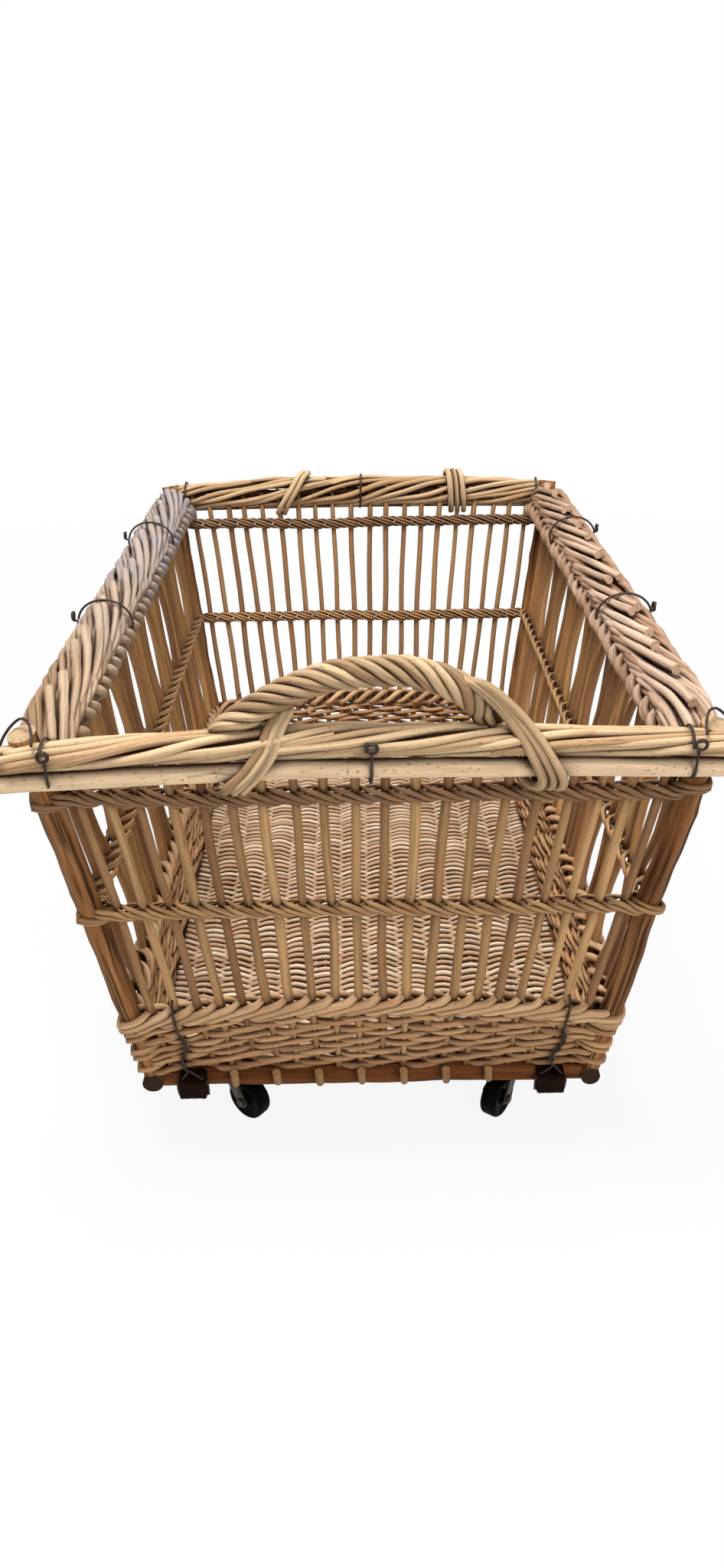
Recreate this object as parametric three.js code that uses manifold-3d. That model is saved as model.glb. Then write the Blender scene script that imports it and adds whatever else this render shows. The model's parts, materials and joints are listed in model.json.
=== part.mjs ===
// A willow laundry trolley: a flared basket of upright stakes on a pole frame with four swivel casters.
// Millimetres, +Z up, front towards -Y. The origin is the middle of the underside of its bounding box.

import * as THREE from 'three';
import { mergeVertices } from 'three/addons/utils/BufferGeometryUtils.js';
import Module from 'manifold-3d';

const wasm = await Module();
wasm.setup();

// Gap kept between neighbouring pieces
const CLEARANCE = 0.3;

// Distance under which two vertices count as one
const MERGE_DISTANCE = 1e-4;

// Body, measured between the middles of the corner posts
const TOP_WIDTH = 600;
const TOP_LENGTH = 920;
const BASE_WIDTH = 485;
const BASE_LENGTH = 774;
const WALL_HEIGHT = 441;

// Corner posts
const POST_FOOT_RADIUS = 11;
const POST_TOP_RADIUS = 13;
const POST_SIDES = 10;

// Upright stakes, and the tips of some that hang in front of the end rails
const STAKE_RADIUS = 4.8;
const STAKE_SIDES = 4;
const END_STAKES = 20;
const SIDE_STAKES = 32;
const TIP_RADIUS = 4.2;
const TIP_DROP = 6;
const TIP_ROOT = 10;
const TIP_SIDES = 4;

// Close-woven band round the foot
const BAND_HEIGHT = 100;
const BAND_THICKNESS = 27;
const BAND_ROWS = 8;
const BAND_GROOVE = 3.2;

// Twined wales: one half way up, one under the rim
const WALE_HEIGHT = 20;
const WALE_THICKNESS = 24;
const WALE_CHAMFER = 5;
const WALE_WRAP = 6.5;
const WALE_WRAP_SIDES = 8;
const MID_WALE_RISE = 238;

// Rim of the two ends: a smooth pole outside the posts and a heap of rods on top of it
const POLE_RADIUS = 10;
const POLE_DROP = 24;
const POLE_OVERHANG = 30;
const POLE_SIDES = 12;
const ROD_RADIUS = 4.9;
const ROD_OVERLAP = 1;
const ROD_SIDES = 6;
const ROD_ROWS = [4, 3, 2];
const ROD_LEAD = 2;
const UNDER_RIM_GAP = 21;

// Rim of the two sides: one thick plait
const PLAIT_WIDTH = 53;
const PLAIT_HEIGHT = 42;
const PLAIT_INSET = 8;
const PLAIT_RISE = 8;
const PLAIT_FLAT = 16;
const PLAIT_STRANDS = 6;
const PLAIT_GROOVE = 0.07;
const PLAIT_LAY = 420;
const PLAIT_RINGS = 20;

// Twisted handles, each wrapped round the rim at two gaps between stakes
const HANDLE_RADIUS = 13;
const HANDLE_FOOT_SHARE = 0.7;
const HANDLE_RISE = 46;
const HANDLE_STRANDS = 5;
const HANDLE_GROOVE = 0.1;
const HANDLE_TURNS = 3;
const HANDLE_RINGS = 21;
const HANDLE_LEFT_GAPS = 4;
const HANDLE_RIGHT_GAPS = 5;
const BACK_HANDLE_DROP = THREE.MathUtils.degToRad(110);
const WRAP_THICKNESS = 7;
const WRAP_SIDE_GAP = 1;
const WRAP_BEND = 9;
const WRAP_BEND_STEPS = 2;
const WRAP_SINK = 1.5;

// Wire ties
const WIRE_RADIUS = 1.4;
const WIRE_TAIL = 7;
const WIRE_BEND = 7;
const WIRE_BEND_STEPS = 1;
const WIRE_SIDES = 3;
const FRONT_SIDE_TIE_GAPS = 5;
const BACK_SIDE_TIE_GAPS = 7;
const RUNNER_TIE_TAIL = 50;
const RUNNER_TIE_SLACK = 0.8;

// Base frame of round rails, two square runners and two caster boards
const RAIL_RADIUS = 11;
const RUNNER_WIDTH = 30;
const RUNNER_HEIGHT = 24;
const RUNNER_INSET = 45;
const RUNNER_OVERHANG = 25;
const BOARD_WIDTH = 54;

// Woven floor
const FLOOR_THICKNESS = 7;
const FLOOR_WEAVE_HEIGHT = 6;
const FLOOR_RIBS = 12;
const FLOOR_ROWS = 46;

// Casters
const CASTER_HEIGHT = 70;
const CASTER_INSET = 3;
const CASTER_TRAIL = 20;
const WHEEL_RADIUS = 25;
const WHEEL_WIDTH = 20;
const WHEEL_SEGMENTS = 12;
const HUB_RADIUS = 9;
const HUB_PROUD = 1;
const TREAD_CHAMFER = 2.5;
const AXLE_RADIUS = 3;
const AXLE_PLAY = 0.6;
const AXLE_SIDES = 6;
const AXLE_HEAD_RADIUS = 5.5;
const AXLE_HEAD_HEIGHT = 3;
const PLATE_LENGTH = 50;
const PLATE_WIDTH = 44;
const PLATE_THICKNESS = 2.5;
const SCREW_RADIUS = 3.5;
const SCREW_HEIGHT = 1.6;
const SCREW_INSET = 7;
const SCREW_SIDES = 6;
const RACE_RADIUS = 15;
const RACE_HEIGHT = 3;
const RACE_SEGMENTS = 10;
const KING_PIN_RADIUS = 4;
const KING_PIN_PLAY = 0.6;
const RIVET_RADIUS = 7;
const RIVET_HEIGHT = 2.5;
const CROWN_RADIUS = 17;
const CROWN_THICKNESS = 3;
const LEG_THICKNESS = 2;
const LEG_GAP = 1.6;
const LEG_FRONT = 10;
const LEG_EYE_RADIUS = 7;
const LEG_EYE_STEPS = 3;
const LEG_SHOULDER = 9;
const FRONT_LEFT_SWIVEL = 50;
const FRONT_RIGHT_SWIVEL = -35;
const BACK_LEFT_SWIVEL = 160;
const BACK_RIGHT_SWIVEL = 205;

// Finishes
function finish(color, roughness, metalness = 0) {
  return new THREE.MeshStandardMaterial({ color, roughness, metalness });
}
const barkWood = finish(0x5a3c22, 0.8);
const willow = finish(0xb98c54, 0.65);
const paleWillow = finish(0xc9a877, 0.65);
const floorWillow = finish(0xc7a183, 0.75);
const redWood = finish(0x8a5630, 0.7);
const darkWood = finish(0x402a1c, 0.8);
const ironWire = finish(0x3d3730, 0.55, 0.8);
const steel = finish(0x8d8c88, 0.4, 0.9);
const rubber = finish(0x161616, 0.6);

// Levels of the base frame, from the floor up
const RAIL_Z = CASTER_HEIGHT + RAIL_RADIUS;
const FRAME_TOP = CASTER_HEIGHT + 2 * RAIL_RADIUS;
const BASE_Z = FRAME_TOP + CLEARANCE;

const basket = new THREE.Group();
basket.name = 'laundry_trolley';

// Turns a closed geometry into a solid whose faces point outwards
function toSolid(geometry) {
  const plain = geometry.clone();
  plain.deleteAttribute('normal');
  plain.deleteAttribute('uv');
  const merged = mergeVertices(plain, MERGE_DISTANCE);
  const vertProperties = new Float32Array(merged.attributes.position.array);
  const triVerts = new Uint32Array(merged.index.array);
  const solid = new wasm.Manifold(new wasm.Mesh({ numProp: 3, vertProperties, triVerts }));
  if (solid.volume() > 0) return solid;
  const turned = triVerts.slice().reverse();
  return new wasm.Manifold(new wasm.Mesh({ numProp: 3, vertProperties, triVerts: turned }));
}

// Turns a solid back into a geometry
function toGeometry(solid) {
  const mesh = solid.getMesh();
  const geometry = new THREE.BufferGeometry();
  geometry.setAttribute('position', new THREE.BufferAttribute(mesh.vertProperties, 3));
  geometry.setIndex(new THREE.BufferAttribute(mesh.triVerts, 1));
  geometry.computeVertexNormals();
  return geometry;
}

// Joins geometries into one solid
function joined(geometries) {
  return geometries.map(toSolid).reduce((whole, piece) => whole.add(piece));
}

// Cuts a list of geometries out of a solid
function without(solid, cutters) {
  return cutters.map(toSolid).reduce((rest, cutter) => rest.subtract(cutter), solid);
}

// Adds one named sub-part to a group
function addPart(parent, name, solid, material) {
  const mesh = new THREE.Mesh(toGeometry(solid), material);
  mesh.name = name;
  parent.add(mesh);
  return mesh;
}

// Tapered round rod between two points
function rod(from, to, startRadius, endRadius, sides) {
  const along = to.clone().sub(from);
  const geometry = new THREE.CylinderGeometry(endRadius, startRadius, along.length(), sides);
  const turn = new THREE.Quaternion().setFromUnitVectors(new THREE.Vector3(0, 1, 0), along.normalize());
  geometry.applyQuaternion(turn);
  const middle = from.clone().add(to).multiplyScalar(0.5);
  geometry.translate(middle.x, middle.y, middle.z);
  return geometry;
}

// Box between two corners
function block(low, high) {
  const size = high.clone().sub(low);
  const middle = low.clone().add(high).multiplyScalar(0.5);
  return new THREE.BoxGeometry(size.x, size.y, size.z).translate(middle.x, middle.y, middle.z);
}

// Closed skin through a row of rings with equal point counts, capped at both ends
function loft(rings) {
  const count = rings[0].length;
  const points = rings.flat();
  const faces = [];
  for (let ring = 0; ring < rings.length - 1; ring += 1) {
    for (let i = 0; i < count; i += 1) {
      const a = ring * count + i;
      const b = ring * count + ((i + 1) % count);
      faces.push(a, b, a + count, b, b + count, a + count);
    }
  }
  const last = (rings.length - 1) * count;
  for (let i = 1; i < count - 1; i += 1) {
    faces.push(0, i + 1, i);
    faces.push(last, last + i, last + i + 1);
  }
  const geometry = new THREE.BufferGeometry().setFromPoints(points);
  geometry.setIndex(faces);
  return geometry;
}

// Wire through a row of points, with a ring of its section at each point
function wire(points, radius) {
  const last = points.length - 1;
  const normal = new THREE.Vector3();
  const rings = points.map((point, index) => {
    const before = points[Math.max(index - 1, 0)];
    const after = points[Math.min(index + 1, last)];
    const along = after.clone().sub(before).normalize();
    if (index === 0) normal.set(along.y, along.z, along.x);
    normal.addScaledVector(along, -normal.dot(along)).normalize();
    const across = new THREE.Vector3().crossVectors(along, normal);
    return Array.from({ length: WIRE_SIDES }, (_, side) => {
      const angle = (2 * Math.PI * side) / WIRE_SIDES;
      const offset = normal.clone().multiplyScalar(radius * Math.cos(angle));
      return offset.addScaledVector(across, radius * Math.sin(angle)).add(point);
    });
  });
  return toSolid(loft(rings));
}

// Rectangle with rounded corners
function roundedRectangle(lowX, highX, lowY, highY, bend) {
  const outline = new THREE.Shape();
  outline.absarc(highX - bend, highY - bend, bend, 0, Math.PI / 2);
  outline.absarc(lowX + bend, highY - bend, bend, Math.PI / 2, Math.PI);
  outline.absarc(lowX + bend, lowY + bend, bend, Math.PI, Math.PI * 1.5);
  outline.absarc(highX - bend, lowY + bend, bend, Math.PI * 1.5, Math.PI * 2);
  outline.closePath();
  return outline;
}

// One kind of wall: u runs along it, v climbs its slope from the foot and n points out of the basket
function wallKind(baseSpan, topSpan, reach, flare, stakes) {
  const tilt = Math.atan2(flare, WALL_HEIGHT);
  const slope = Math.hypot(flare, WALL_HEIGHT);
  const climb = (height) => height / Math.cos(tilt);
  const halfSpan = (v) => baseSpan / 2 + ((topSpan - baseSpan) / 2) * (v / slope);
  const reachAt = (z) => reach + (z - BASE_Z) * Math.tan(tilt);
  const lean = Math.atan2((topSpan - baseSpan) / 2, slope);
  const pitchAt = (v) => (2 * halfSpan(v)) / (stakes + 1);
  const gapAt = (index, v) => {
    const middle = (index + 0.5) * pitchAt(v) - halfSpan(v);
    if (index === 0) return middle + (POST_TOP_RADIUS - STAKE_RADIUS) / 2;
    if (index === stakes) return middle - (POST_TOP_RADIUS - STAKE_RADIUS) / 2;
    return middle;
  };
  const middleGap = Math.floor(stakes / 2);
  return { tilt, slope, climb, halfSpan, reach, reachAt, lean, stakes, pitchAt, gapAt, middleGap };
}

const END_FLARE = (TOP_LENGTH - BASE_LENGTH) / 2;
const SIDE_FLARE = (TOP_WIDTH - BASE_WIDTH) / 2;
const endWall = wallKind(BASE_WIDTH, TOP_WIDTH, BASE_LENGTH / 2, END_FLARE, END_STAKES);
const sideWall = wallKind(BASE_LENGTH, TOP_LENGTH, BASE_WIDTH / 2, SIDE_FLARE, SIDE_STAKES);
const CORNER_ANGLE = Math.PI - Math.acos(Math.sin(endWall.tilt) * Math.sin(sideWall.tilt));

// Group that carries the pieces of one wall, turned to its side of the basket and leaned out
function wallGroup(wall, turn) {
  const side = new THREE.Group();
  side.rotation.z = turn;
  const leaning = new THREE.Group();
  leaning.position.set(0, -wall.reach, BASE_Z);
  leaning.rotation.x = Math.PI / 2 + wall.tilt;
  side.add(leaning);
  basket.add(side);
  return { side, leaning };
}

// Radius of a corner post at a share of its height
function postRadius(share) {
  return POST_FOOT_RADIUS + (POST_TOP_RADIUS - POST_FOOT_RADIUS) * share;
}

// Cutter for a corner post in a wall's own frame, a clearance larger than the post and longer at both ends
function postCutter(wall, end) {
  const spare = WALL_HEIGHT / 4;
  const widen = 1 / Math.cos(Math.PI / POST_SIDES);
  const low = new THREE.Vector3(end * wall.halfSpan(-spare), -spare, 0);
  const high = new THREE.Vector3(end * wall.halfSpan(wall.slope + spare), wall.slope + spare, 0);
  const lowRadius = (postRadius(-spare / wall.slope) + CLEARANCE) * widen;
  const highRadius = (postRadius(1 + spare / wall.slope) + CLEARANCE) * widen;
  return rod(low, high, lowRadius, highRadius, POST_SIDES);
}

// Cutter that mitres a wall against the next one, along the corner post's middle line
function mitreCutter(wall, end) {
  const size = WALL_HEIGHT * 3;
  const upPost = new THREE.Vector3(end * Math.sin(wall.lean), Math.cos(wall.lean), 0);
  const outPost = new THREE.Vector3(end * Math.cos(wall.lean), -Math.sin(wall.lean), 0);
  const slant = Math.PI / 2 - CORNER_ANGLE / 2;
  const out = outPost.multiplyScalar(Math.cos(slant)).add(new THREE.Vector3(0, 0, -Math.sin(slant)));
  const across = new THREE.Vector3().crossVectors(out, upPost);
  const cutter = new THREE.BoxGeometry(size, size, size).translate(size / 2 - CLEARANCE / 2, 0, 0);
  const place = new THREE.Matrix4().makeBasis(out, upPost, across);
  place.setPosition(end * wall.halfSpan(0), 0, 0);
  return cutter.applyMatrix4(place);
}

// Bar along a wall with the section given as a shape in n and v
function wallStrip(wall, section, topV) {
  const length = 2 * (wall.halfSpan(topV) + POST_TOP_RADIUS + WALE_WRAP);
  const strip = new THREE.ExtrudeGeometry(section, { depth: length, bevelEnabled: false });
  return strip.translate(0, 0, -length / 2).rotateY(Math.PI / 2);
}

// Section of the woven band: rows of rounded weavers on each face, with its underside level
function bandSection(wall) {
  const top = wall.climb(BAND_HEIGHT);
  const half = BAND_THICKNESS / 2;
  const rowHeight = top / BAND_ROWS;
  const right = [];
  for (let row = 0; row < BAND_ROWS; row += 1) {
    right.push(new THREE.Vector2(half - BAND_GROOVE, row * rowHeight));
    right.push(new THREE.Vector2(half, (row + 0.5) * rowHeight));
  }
  right.push(new THREE.Vector2(half - BAND_GROOVE, top));
  const left = right.map((point) => new THREE.Vector2(-point.x, point.y));
  right[0].y = -right[0].x * Math.tan(wall.tilt);
  left[0].y = -left[0].x * Math.tan(wall.tilt);
  return new THREE.Shape([...right, ...left.reverse()]);
}

// Section of a twined wale about its middle height
function waleSection(middle) {
  const half = WALE_THICKNESS / 2;
  const low = middle - WALE_HEIGHT / 2;
  const high = middle + WALE_HEIGHT / 2;
  return new THREE.Shape([
    new THREE.Vector2(-half + WALE_CHAMFER, low),
    new THREE.Vector2(half - WALE_CHAMFER, low),
    new THREE.Vector2(half, low + WALE_CHAMFER),
    new THREE.Vector2(half, high - WALE_CHAMFER),
    new THREE.Vector2(half - WALE_CHAMFER, high),
    new THREE.Vector2(-half + WALE_CHAMFER, high),
    new THREE.Vector2(-half, high - WALE_CHAMFER),
    new THREE.Vector2(-half, low + WALE_CHAMFER),
  ]);
}

// Turn of a wale round the corner post
function waleCollar(wall, end, middle) {
  const ends = [middle - WALE_HEIGHT / 2, middle + WALE_HEIGHT / 2];
  const [low, high] = ends.map((v) => new THREE.Vector3(end * wall.halfSpan(v), v, 0));
  const radius = postRadius(middle / wall.slope) + WALE_WRAP;
  return rod(low, high, radius, radius, WALE_WRAP_SIDES);
}

// Stake at a share of the wall's half span, from inside the band to its seat under the rim
function stake(wall, share, topV) {
  const footV = wall.climb(BAND_HEIGHT) - BAND_THICKNESS;
  const headV = topV - CLEARANCE - STAKE_RADIUS * Math.abs(share) * Math.tan(wall.lean);
  const foot = new THREE.Vector3(share * wall.halfSpan(footV), footV, 0);
  const head = new THREE.Vector3(share * wall.halfSpan(headV), headV, 0);
  return rod(foot, head, STAKE_RADIUS, STAKE_RADIUS, STAKE_SIDES);
}

// Shares of the half span at which a wall's stakes stand
function stakeShares(wall) {
  return Array.from({ length: wall.stakes }, (_, index) => (2 * (index + 1)) / (wall.stakes + 1) - 1);
}

const RUNNER_X = sideWall.reachAt(RAIL_Z) - RUNNER_INSET;

// Tips of every other stake, hanging in front of an end rail and clear of the runners
function stakeTips(wall) {
  const n = RAIL_RADIUS + CLEARANCE + TIP_RADIUS;
  const keepOff = RUNNER_WIDTH / 2 + 2 * WIRE_RADIUS + RUNNER_TIE_SLACK + TIP_RADIUS + 2 * CLEARANCE;
  const chosen = stakeShares(wall).filter((_, index) => index % 2 === 1);
  const places = chosen.map((share) => share * wall.halfSpan(0));
  const clear = places.filter((u) => Math.abs(Math.abs(u) - RUNNER_X) > keepOff);
  return clear.map((u) => {
    const low = new THREE.Vector3(u, -TIP_DROP, n);
    const high = new THREE.Vector3(u, TIP_ROOT, n);
    return rod(low, high, TIP_RADIUS, TIP_RADIUS, TIP_SIDES);
  });
}

// One wall: stakes held by the band and the two wales, mitred and hollowed to take the corner posts
function wallSolid(wall, topV, topWaleV, tips) {
  const bandTop = wall.climb(BAND_HEIGHT);
  const midWaleV = wall.climb(MID_WALE_RISE);
  const pieces = [wallStrip(wall, bandSection(wall), bandTop)];
  for (const waleV of [midWaleV, topWaleV]) {
    pieces.push(wallStrip(wall, waleSection(waleV), waleV));
    for (const end of [-1, 1]) pieces.push(waleCollar(wall, end, waleV));
  }
  for (const share of stakeShares(wall)) pieces.push(stake(wall, share, topV));
  const cutters = [-1, 1].flatMap((end) => [postCutter(wall, end), mitreCutter(wall, end)]);
  return without(joined([...pieces, ...tips]), cutters);
}

// Rim of an end wall: heights are measured from the pole's middle
const poleN = POST_TOP_RADIUS + CLEARANCE + POLE_RADIUS;
const poleV = endWall.climb(WALL_HEIGHT - POLE_DROP);
const rodPitch = 2 * ROD_RADIUS - ROD_OVERLAP;
const firstRodRise = POLE_RADIUS + ROD_RADIUS + 2 * CLEARANCE;
const rimRods = ROD_ROWS.flatMap((count, row) => Array.from({ length: count }, (_, index) => ({
  n: poleN + ROD_LEAD - (index + row / 2) * rodPitch,
  rise: firstRodRise + row * rodPitch * Math.sin(Math.PI / 3),
})));
const endRim = {
  nLow: Math.min(...rimRods.map((place) => place.n)) - ROD_RADIUS,
  nHigh: poleN + POLE_RADIUS,
  vLow: poleV - POLE_RADIUS,
  vHigh: poleV + Math.max(...rimRods.map((place) => place.rise)) + ROD_RADIUS,
};
const endStakeTop = poleV + firstRodRise - ROD_RADIUS;
const endTopWale = poleV - POLE_RADIUS - UNDER_RIM_GAP - WALE_HEIGHT / 2;

// Smooth pole along an end, outside the corner posts
function rimPole() {
  const reach = endWall.halfSpan(poleV) + POLE_OVERHANG;
  const left = new THREE.Vector3(-reach, poleV, poleN);
  const right = new THREE.Vector3(reach, poleV, poleN);
  return toSolid(rod(left, right, POLE_RADIUS, POLE_RADIUS, POLE_SIDES));
}

// Heap of rods on the pole: the outer ones run past the posts and the others stop at them
function rimBundle() {
  const rods = rimRods.map(({ n, rise }) => {
    const passesPost = n - ROD_RADIUS > POST_TOP_RADIUS + CLEARANCE;
    const reach = endWall.halfSpan(poleV + rise) + (passesPost ? POLE_OVERHANG : 0);
    const left = new THREE.Vector3(-reach, poleV + rise, n);
    const right = new THREE.Vector3(reach, poleV + rise, n);
    return rod(left, right, ROD_RADIUS, ROD_RADIUS, ROD_SIDES);
  });
  return without(joined(rods), [postCutter(endWall, -1), postCutter(endWall, 1)]);
}

// Rim of a side wall
const plaitV = sideWall.climb(WALL_HEIGHT - PLAIT_RISE);
const plaitSwell = 1 + PLAIT_GROOVE;
const sideRim = {
  nLow: -PLAIT_INSET - (PLAIT_WIDTH / 2) * plaitSwell,
  nHigh: -PLAIT_INSET + (PLAIT_WIDTH / 2) * plaitSwell,
  vLow: plaitV - PLAIT_FLAT,
  vHigh: plaitV + (PLAIT_HEIGHT / 2) * plaitSwell,
};
const sideTopWale = sideWall.climb(endTopWale * Math.cos(endWall.tilt));

// Plaited border along a side, flat where it sits on the stakes and ending against the posts
function rimPlait() {
  const endGap = (POST_TOP_RADIUS + CLEARANCE) / Math.cos(sideWall.lean);
  const sides = PLAIT_STRANDS * 2;
  const rings = [];
  for (let ring = 0; ring <= PLAIT_RINGS; ring += 1) {
    const share = (2 * ring) / PLAIT_RINGS - 1;
    const phase = (2 * Math.PI * share * sideWall.halfSpan(plaitV)) / PLAIT_LAY;
    const points = [];
    for (let i = 0; i < sides; i += 1) {
      const angle = (2 * Math.PI * i) / sides + phase / PLAIT_STRANDS;
      const swell = 1 + PLAIT_GROOVE * Math.cos(PLAIT_STRANDS * angle - phase);
      const n = -PLAIT_INSET + (PLAIT_WIDTH / 2) * swell * Math.cos(angle);
      const v = plaitV + Math.max(-PLAIT_FLAT, (PLAIT_HEIGHT / 2) * swell * Math.sin(angle));
      points.push(new THREE.Vector3(share * (sideWall.halfSpan(v) - endGap), v, n));
    }
    rings.push(points);
  }
  return toSolid(loft(rings));
}

// Wrap of willow round the rim, in the gap between two stakes
function handleWrap(u, width) {
  const grow = CLEARANCE + WRAP_THICKNESS;
  const { nLow, nHigh, vLow, vHigh } = endRim;
  const outer = [nLow - grow, nHigh + grow, vLow - grow, vHigh + grow];
  const inner = [nLow - CLEARANCE, nHigh + CLEARANCE, vLow - CLEARANCE, vHigh + CLEARANCE];
  const outline = roundedRectangle(...outer, WRAP_BEND + WRAP_THICKNESS);
  outline.holes.push(roundedRectangle(...inner, WRAP_BEND));
  const settings = { depth: width, bevelEnabled: false, curveSegments: WRAP_BEND_STEPS };
  const ring = new THREE.ExtrudeGeometry(outline, settings);
  const upright = new THREE.Matrix4().makeBasis(
    new THREE.Vector3(0, 0, 1),
    new THREE.Vector3(0, 1, 0),
    new THREE.Vector3(-1, 0, 0),
  );
  return ring.applyMatrix4(upright).translate(u + width / 2, 0, 0);
}

// Twisted handle: an arch of strands that leans out by an angle from the wall's slope, and two wraps
function handleSolid(leftGaps, rightGaps, leanOut) {
  const left = endWall.gapAt(endWall.middleGap - leftGaps, endRim.vLow);
  const right = endWall.gapAt(endWall.middleGap + rightGaps, endRim.vLow);
  const wrapWidth = endWall.pitchAt(endRim.vLow) - 2 * (STAKE_RADIUS + WRAP_SIDE_GAP);
  const out = new THREE.Vector3(0, Math.cos(leanOut), Math.sin(leanOut));
  const across = new THREE.Vector3(1, 0, 0).cross(out);
  const grow = WRAP_THICKNESS - WRAP_SINK;
  const halfN = (endRim.nHigh - endRim.nLow) / 2 + grow;
  const halfV = (endRim.vHigh - endRim.vLow) / 2 + grow;
  const footN = (endRim.nHigh + endRim.nLow) / 2 + halfN * out.z;
  const footV = (endRim.vHigh + endRim.vLow) / 2 + halfV * out.y;
  const middle = new THREE.Vector3((left + right) / 2, footV, footN);
  const halfWidth = (right - left) / 2;
  const rings = [];
  for (let ring = 0; ring <= HANDLE_RINGS; ring += 1) {
    const share = ring / HANDLE_RINGS;
    const sweep = Math.PI * (1 - share);
    const centre = middle.clone();
    centre.x += halfWidth * Math.cos(sweep);
    centre.addScaledVector(out, HANDLE_RISE * Math.sin(sweep));
    const normal = new THREE.Vector3(HANDLE_RISE * Math.cos(sweep), 0, 0);
    normal.addScaledVector(out, halfWidth * Math.sin(sweep)).normalize();
    const radius = HANDLE_RADIUS * (HANDLE_FOOT_SHARE + (1 - HANDLE_FOOT_SHARE) * Math.sin(sweep));
    const points = [];
    for (let i = 0; i < HANDLE_STRANDS * 2; i += 1) {
      const angle = (Math.PI * i) / HANDLE_STRANDS + 2 * Math.PI * HANDLE_TURNS * share;
      const reach = radius * (i % 2 === 0 ? 1 : 1 - 2 * HANDLE_GROOVE);
      const point = centre.clone().addScaledVector(normal, reach * Math.cos(angle));
      points.push(point.addScaledVector(across, reach * Math.sin(angle)));
    }
    rings.push(points);
  }
  return joined([loft(rings), handleWrap(left, wrapWidth), handleWrap(right, wrapWidth)]);
}

// Wire tie round a rim, with both ends turned out side by side
function rimTie(rim, u) {
  const grow = CLEARANCE + WIRE_RADIUS;
  const corners = [rim.nLow - grow, rim.nHigh + grow, rim.vLow - grow, rim.vHigh + grow];
  const loop = roundedRectangle(...corners, WIRE_BEND).getPoints(WIRE_BEND_STEPS);
  const sideStep = 2 * WIRE_RADIUS + 2 * CLEARANCE;
  const points = loop.map((point, index) => {
    const shift = (index / (loop.length - 1) - 0.5) * sideStep;
    return new THREE.Vector3(u + shift, point.y, point.x);
  });
  const first = points[0].clone().add(new THREE.Vector3(-sideStep / 4, 0, WIRE_TAIL));
  const last = points[points.length - 1].clone().add(new THREE.Vector3(sideStep / 4, 0, WIRE_TAIL));
  return wire([first, ...points, last], WIRE_RADIUS);
}

// Wire tie from a runner's end up the face of the band and over its top, x along the end and y outwards
function runnerTie(x) {
  const gap = CLEARANCE + WIRE_RADIUS;
  const face = (z) => endWall.reachAt(z) + BAND_THICKNESS / 2 / Math.cos(endWall.tilt) + gap;
  const bandTop = BASE_Z + BAND_HEIGHT + (BAND_THICKNESS / 2) * Math.sin(endWall.tilt);
  const topZ = bandTop + gap + RUNNER_TIE_SLACK;
  const sideX = RUNNER_WIDTH / 2 + gap + RUNNER_TIE_SLACK;
  const underZ = FRAME_TOP - RUNNER_HEIGHT - gap - RUNNER_TIE_SLACK;
  const loopY = face(BASE_Z) + RUNNER_TIE_SLACK;
  const twist = WIRE_RADIUS + CLEARANCE;
  const overZ = FRAME_TOP + gap + RUNNER_TIE_SLACK;
  const stemZ = overZ + 2 * gap;
  const tailZ = BASE_Z + RUNNER_TIE_TAIL;
  const hook = [
    [twist, face(topZ) - BAND_THICKNESS / 2, topZ],
    [twist, face(topZ) - gap, topZ],
    [twist, face(topZ) + RUNNER_TIE_SLACK, topZ - gap],
  ];
  const halfLoop = [
    [twist, face(tailZ) + RUNNER_TIE_SLACK, tailZ],
    [twist, face(stemZ) + RUNNER_TIE_SLACK, stemZ],
    [sideX - gap, loopY, overZ],
    [sideX, loopY, FRAME_TOP],
    [sideX, loopY, underZ + gap],
    [sideX - gap, loopY, underZ],
  ];
  const otherHalf = halfLoop.map(([side, out, z]) => [-side, out, z]).reverse();
  const path = [...hook, ...halfLoop, ...otherHalf];
  return wire(path.map(([side, out, z]) => new THREE.Vector3(x + side, -out, z)), WIRE_RADIUS);
}

// Corner post, notched over the two rails that it stands on
function cornerPost(sideX, sideY) {
  const drop = new THREE.Vector3(-sideX * SIDE_FLARE, -sideY * END_FLARE, -WALL_HEIGHT);
  const head = new THREE.Vector3((sideX * TOP_WIDTH) / 2, (sideY * TOP_LENGTH) / 2, BASE_Z + WALL_HEIGHT);
  const share = (WALL_HEIGHT + BASE_Z - RAIL_Z) / WALL_HEIGHT;
  const foot = head.clone().addScaledVector(drop, share);
  const post = toSolid(rod(foot, head, postRadius(1 - share), POST_TOP_RADIUS, POST_SIDES));
  return without(post, [sideRail(sideX, CLEARANCE), railAcross(sideY, CLEARANCE)]);
}

// Radius of a rail, or of the cutter that clears it all round
function railRadius(grow) {
  return grow > 0 ? (RAIL_RADIUS + grow) / Math.cos(Math.PI / POST_SIDES) : RAIL_RADIUS;
}

// Round rail along a side, reaching out to the faces of the end bands
function sideRail(sideX, grow) {
  const reach = endWall.reachAt(RAIL_Z) + BAND_THICKNESS / 2 + grow;
  const x = sideX * sideWall.reachAt(RAIL_Z);
  const front = new THREE.Vector3(x, -reach, RAIL_Z);
  const back = new THREE.Vector3(x, reach, RAIL_Z);
  return rod(front, back, railRadius(grow), railRadius(grow), POST_SIDES);
}

// Round bar across an end, from the middle of one side rail to the other's
function railAcross(sideY, grow) {
  const x = sideWall.reachAt(RAIL_Z);
  const y = sideY * endWall.reachAt(RAIL_Z);
  const left = new THREE.Vector3(-x, y, RAIL_Z);
  const right = new THREE.Vector3(x, y, RAIL_Z);
  return rod(left, right, railRadius(grow), railRadius(grow), POST_SIDES);
}

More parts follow.
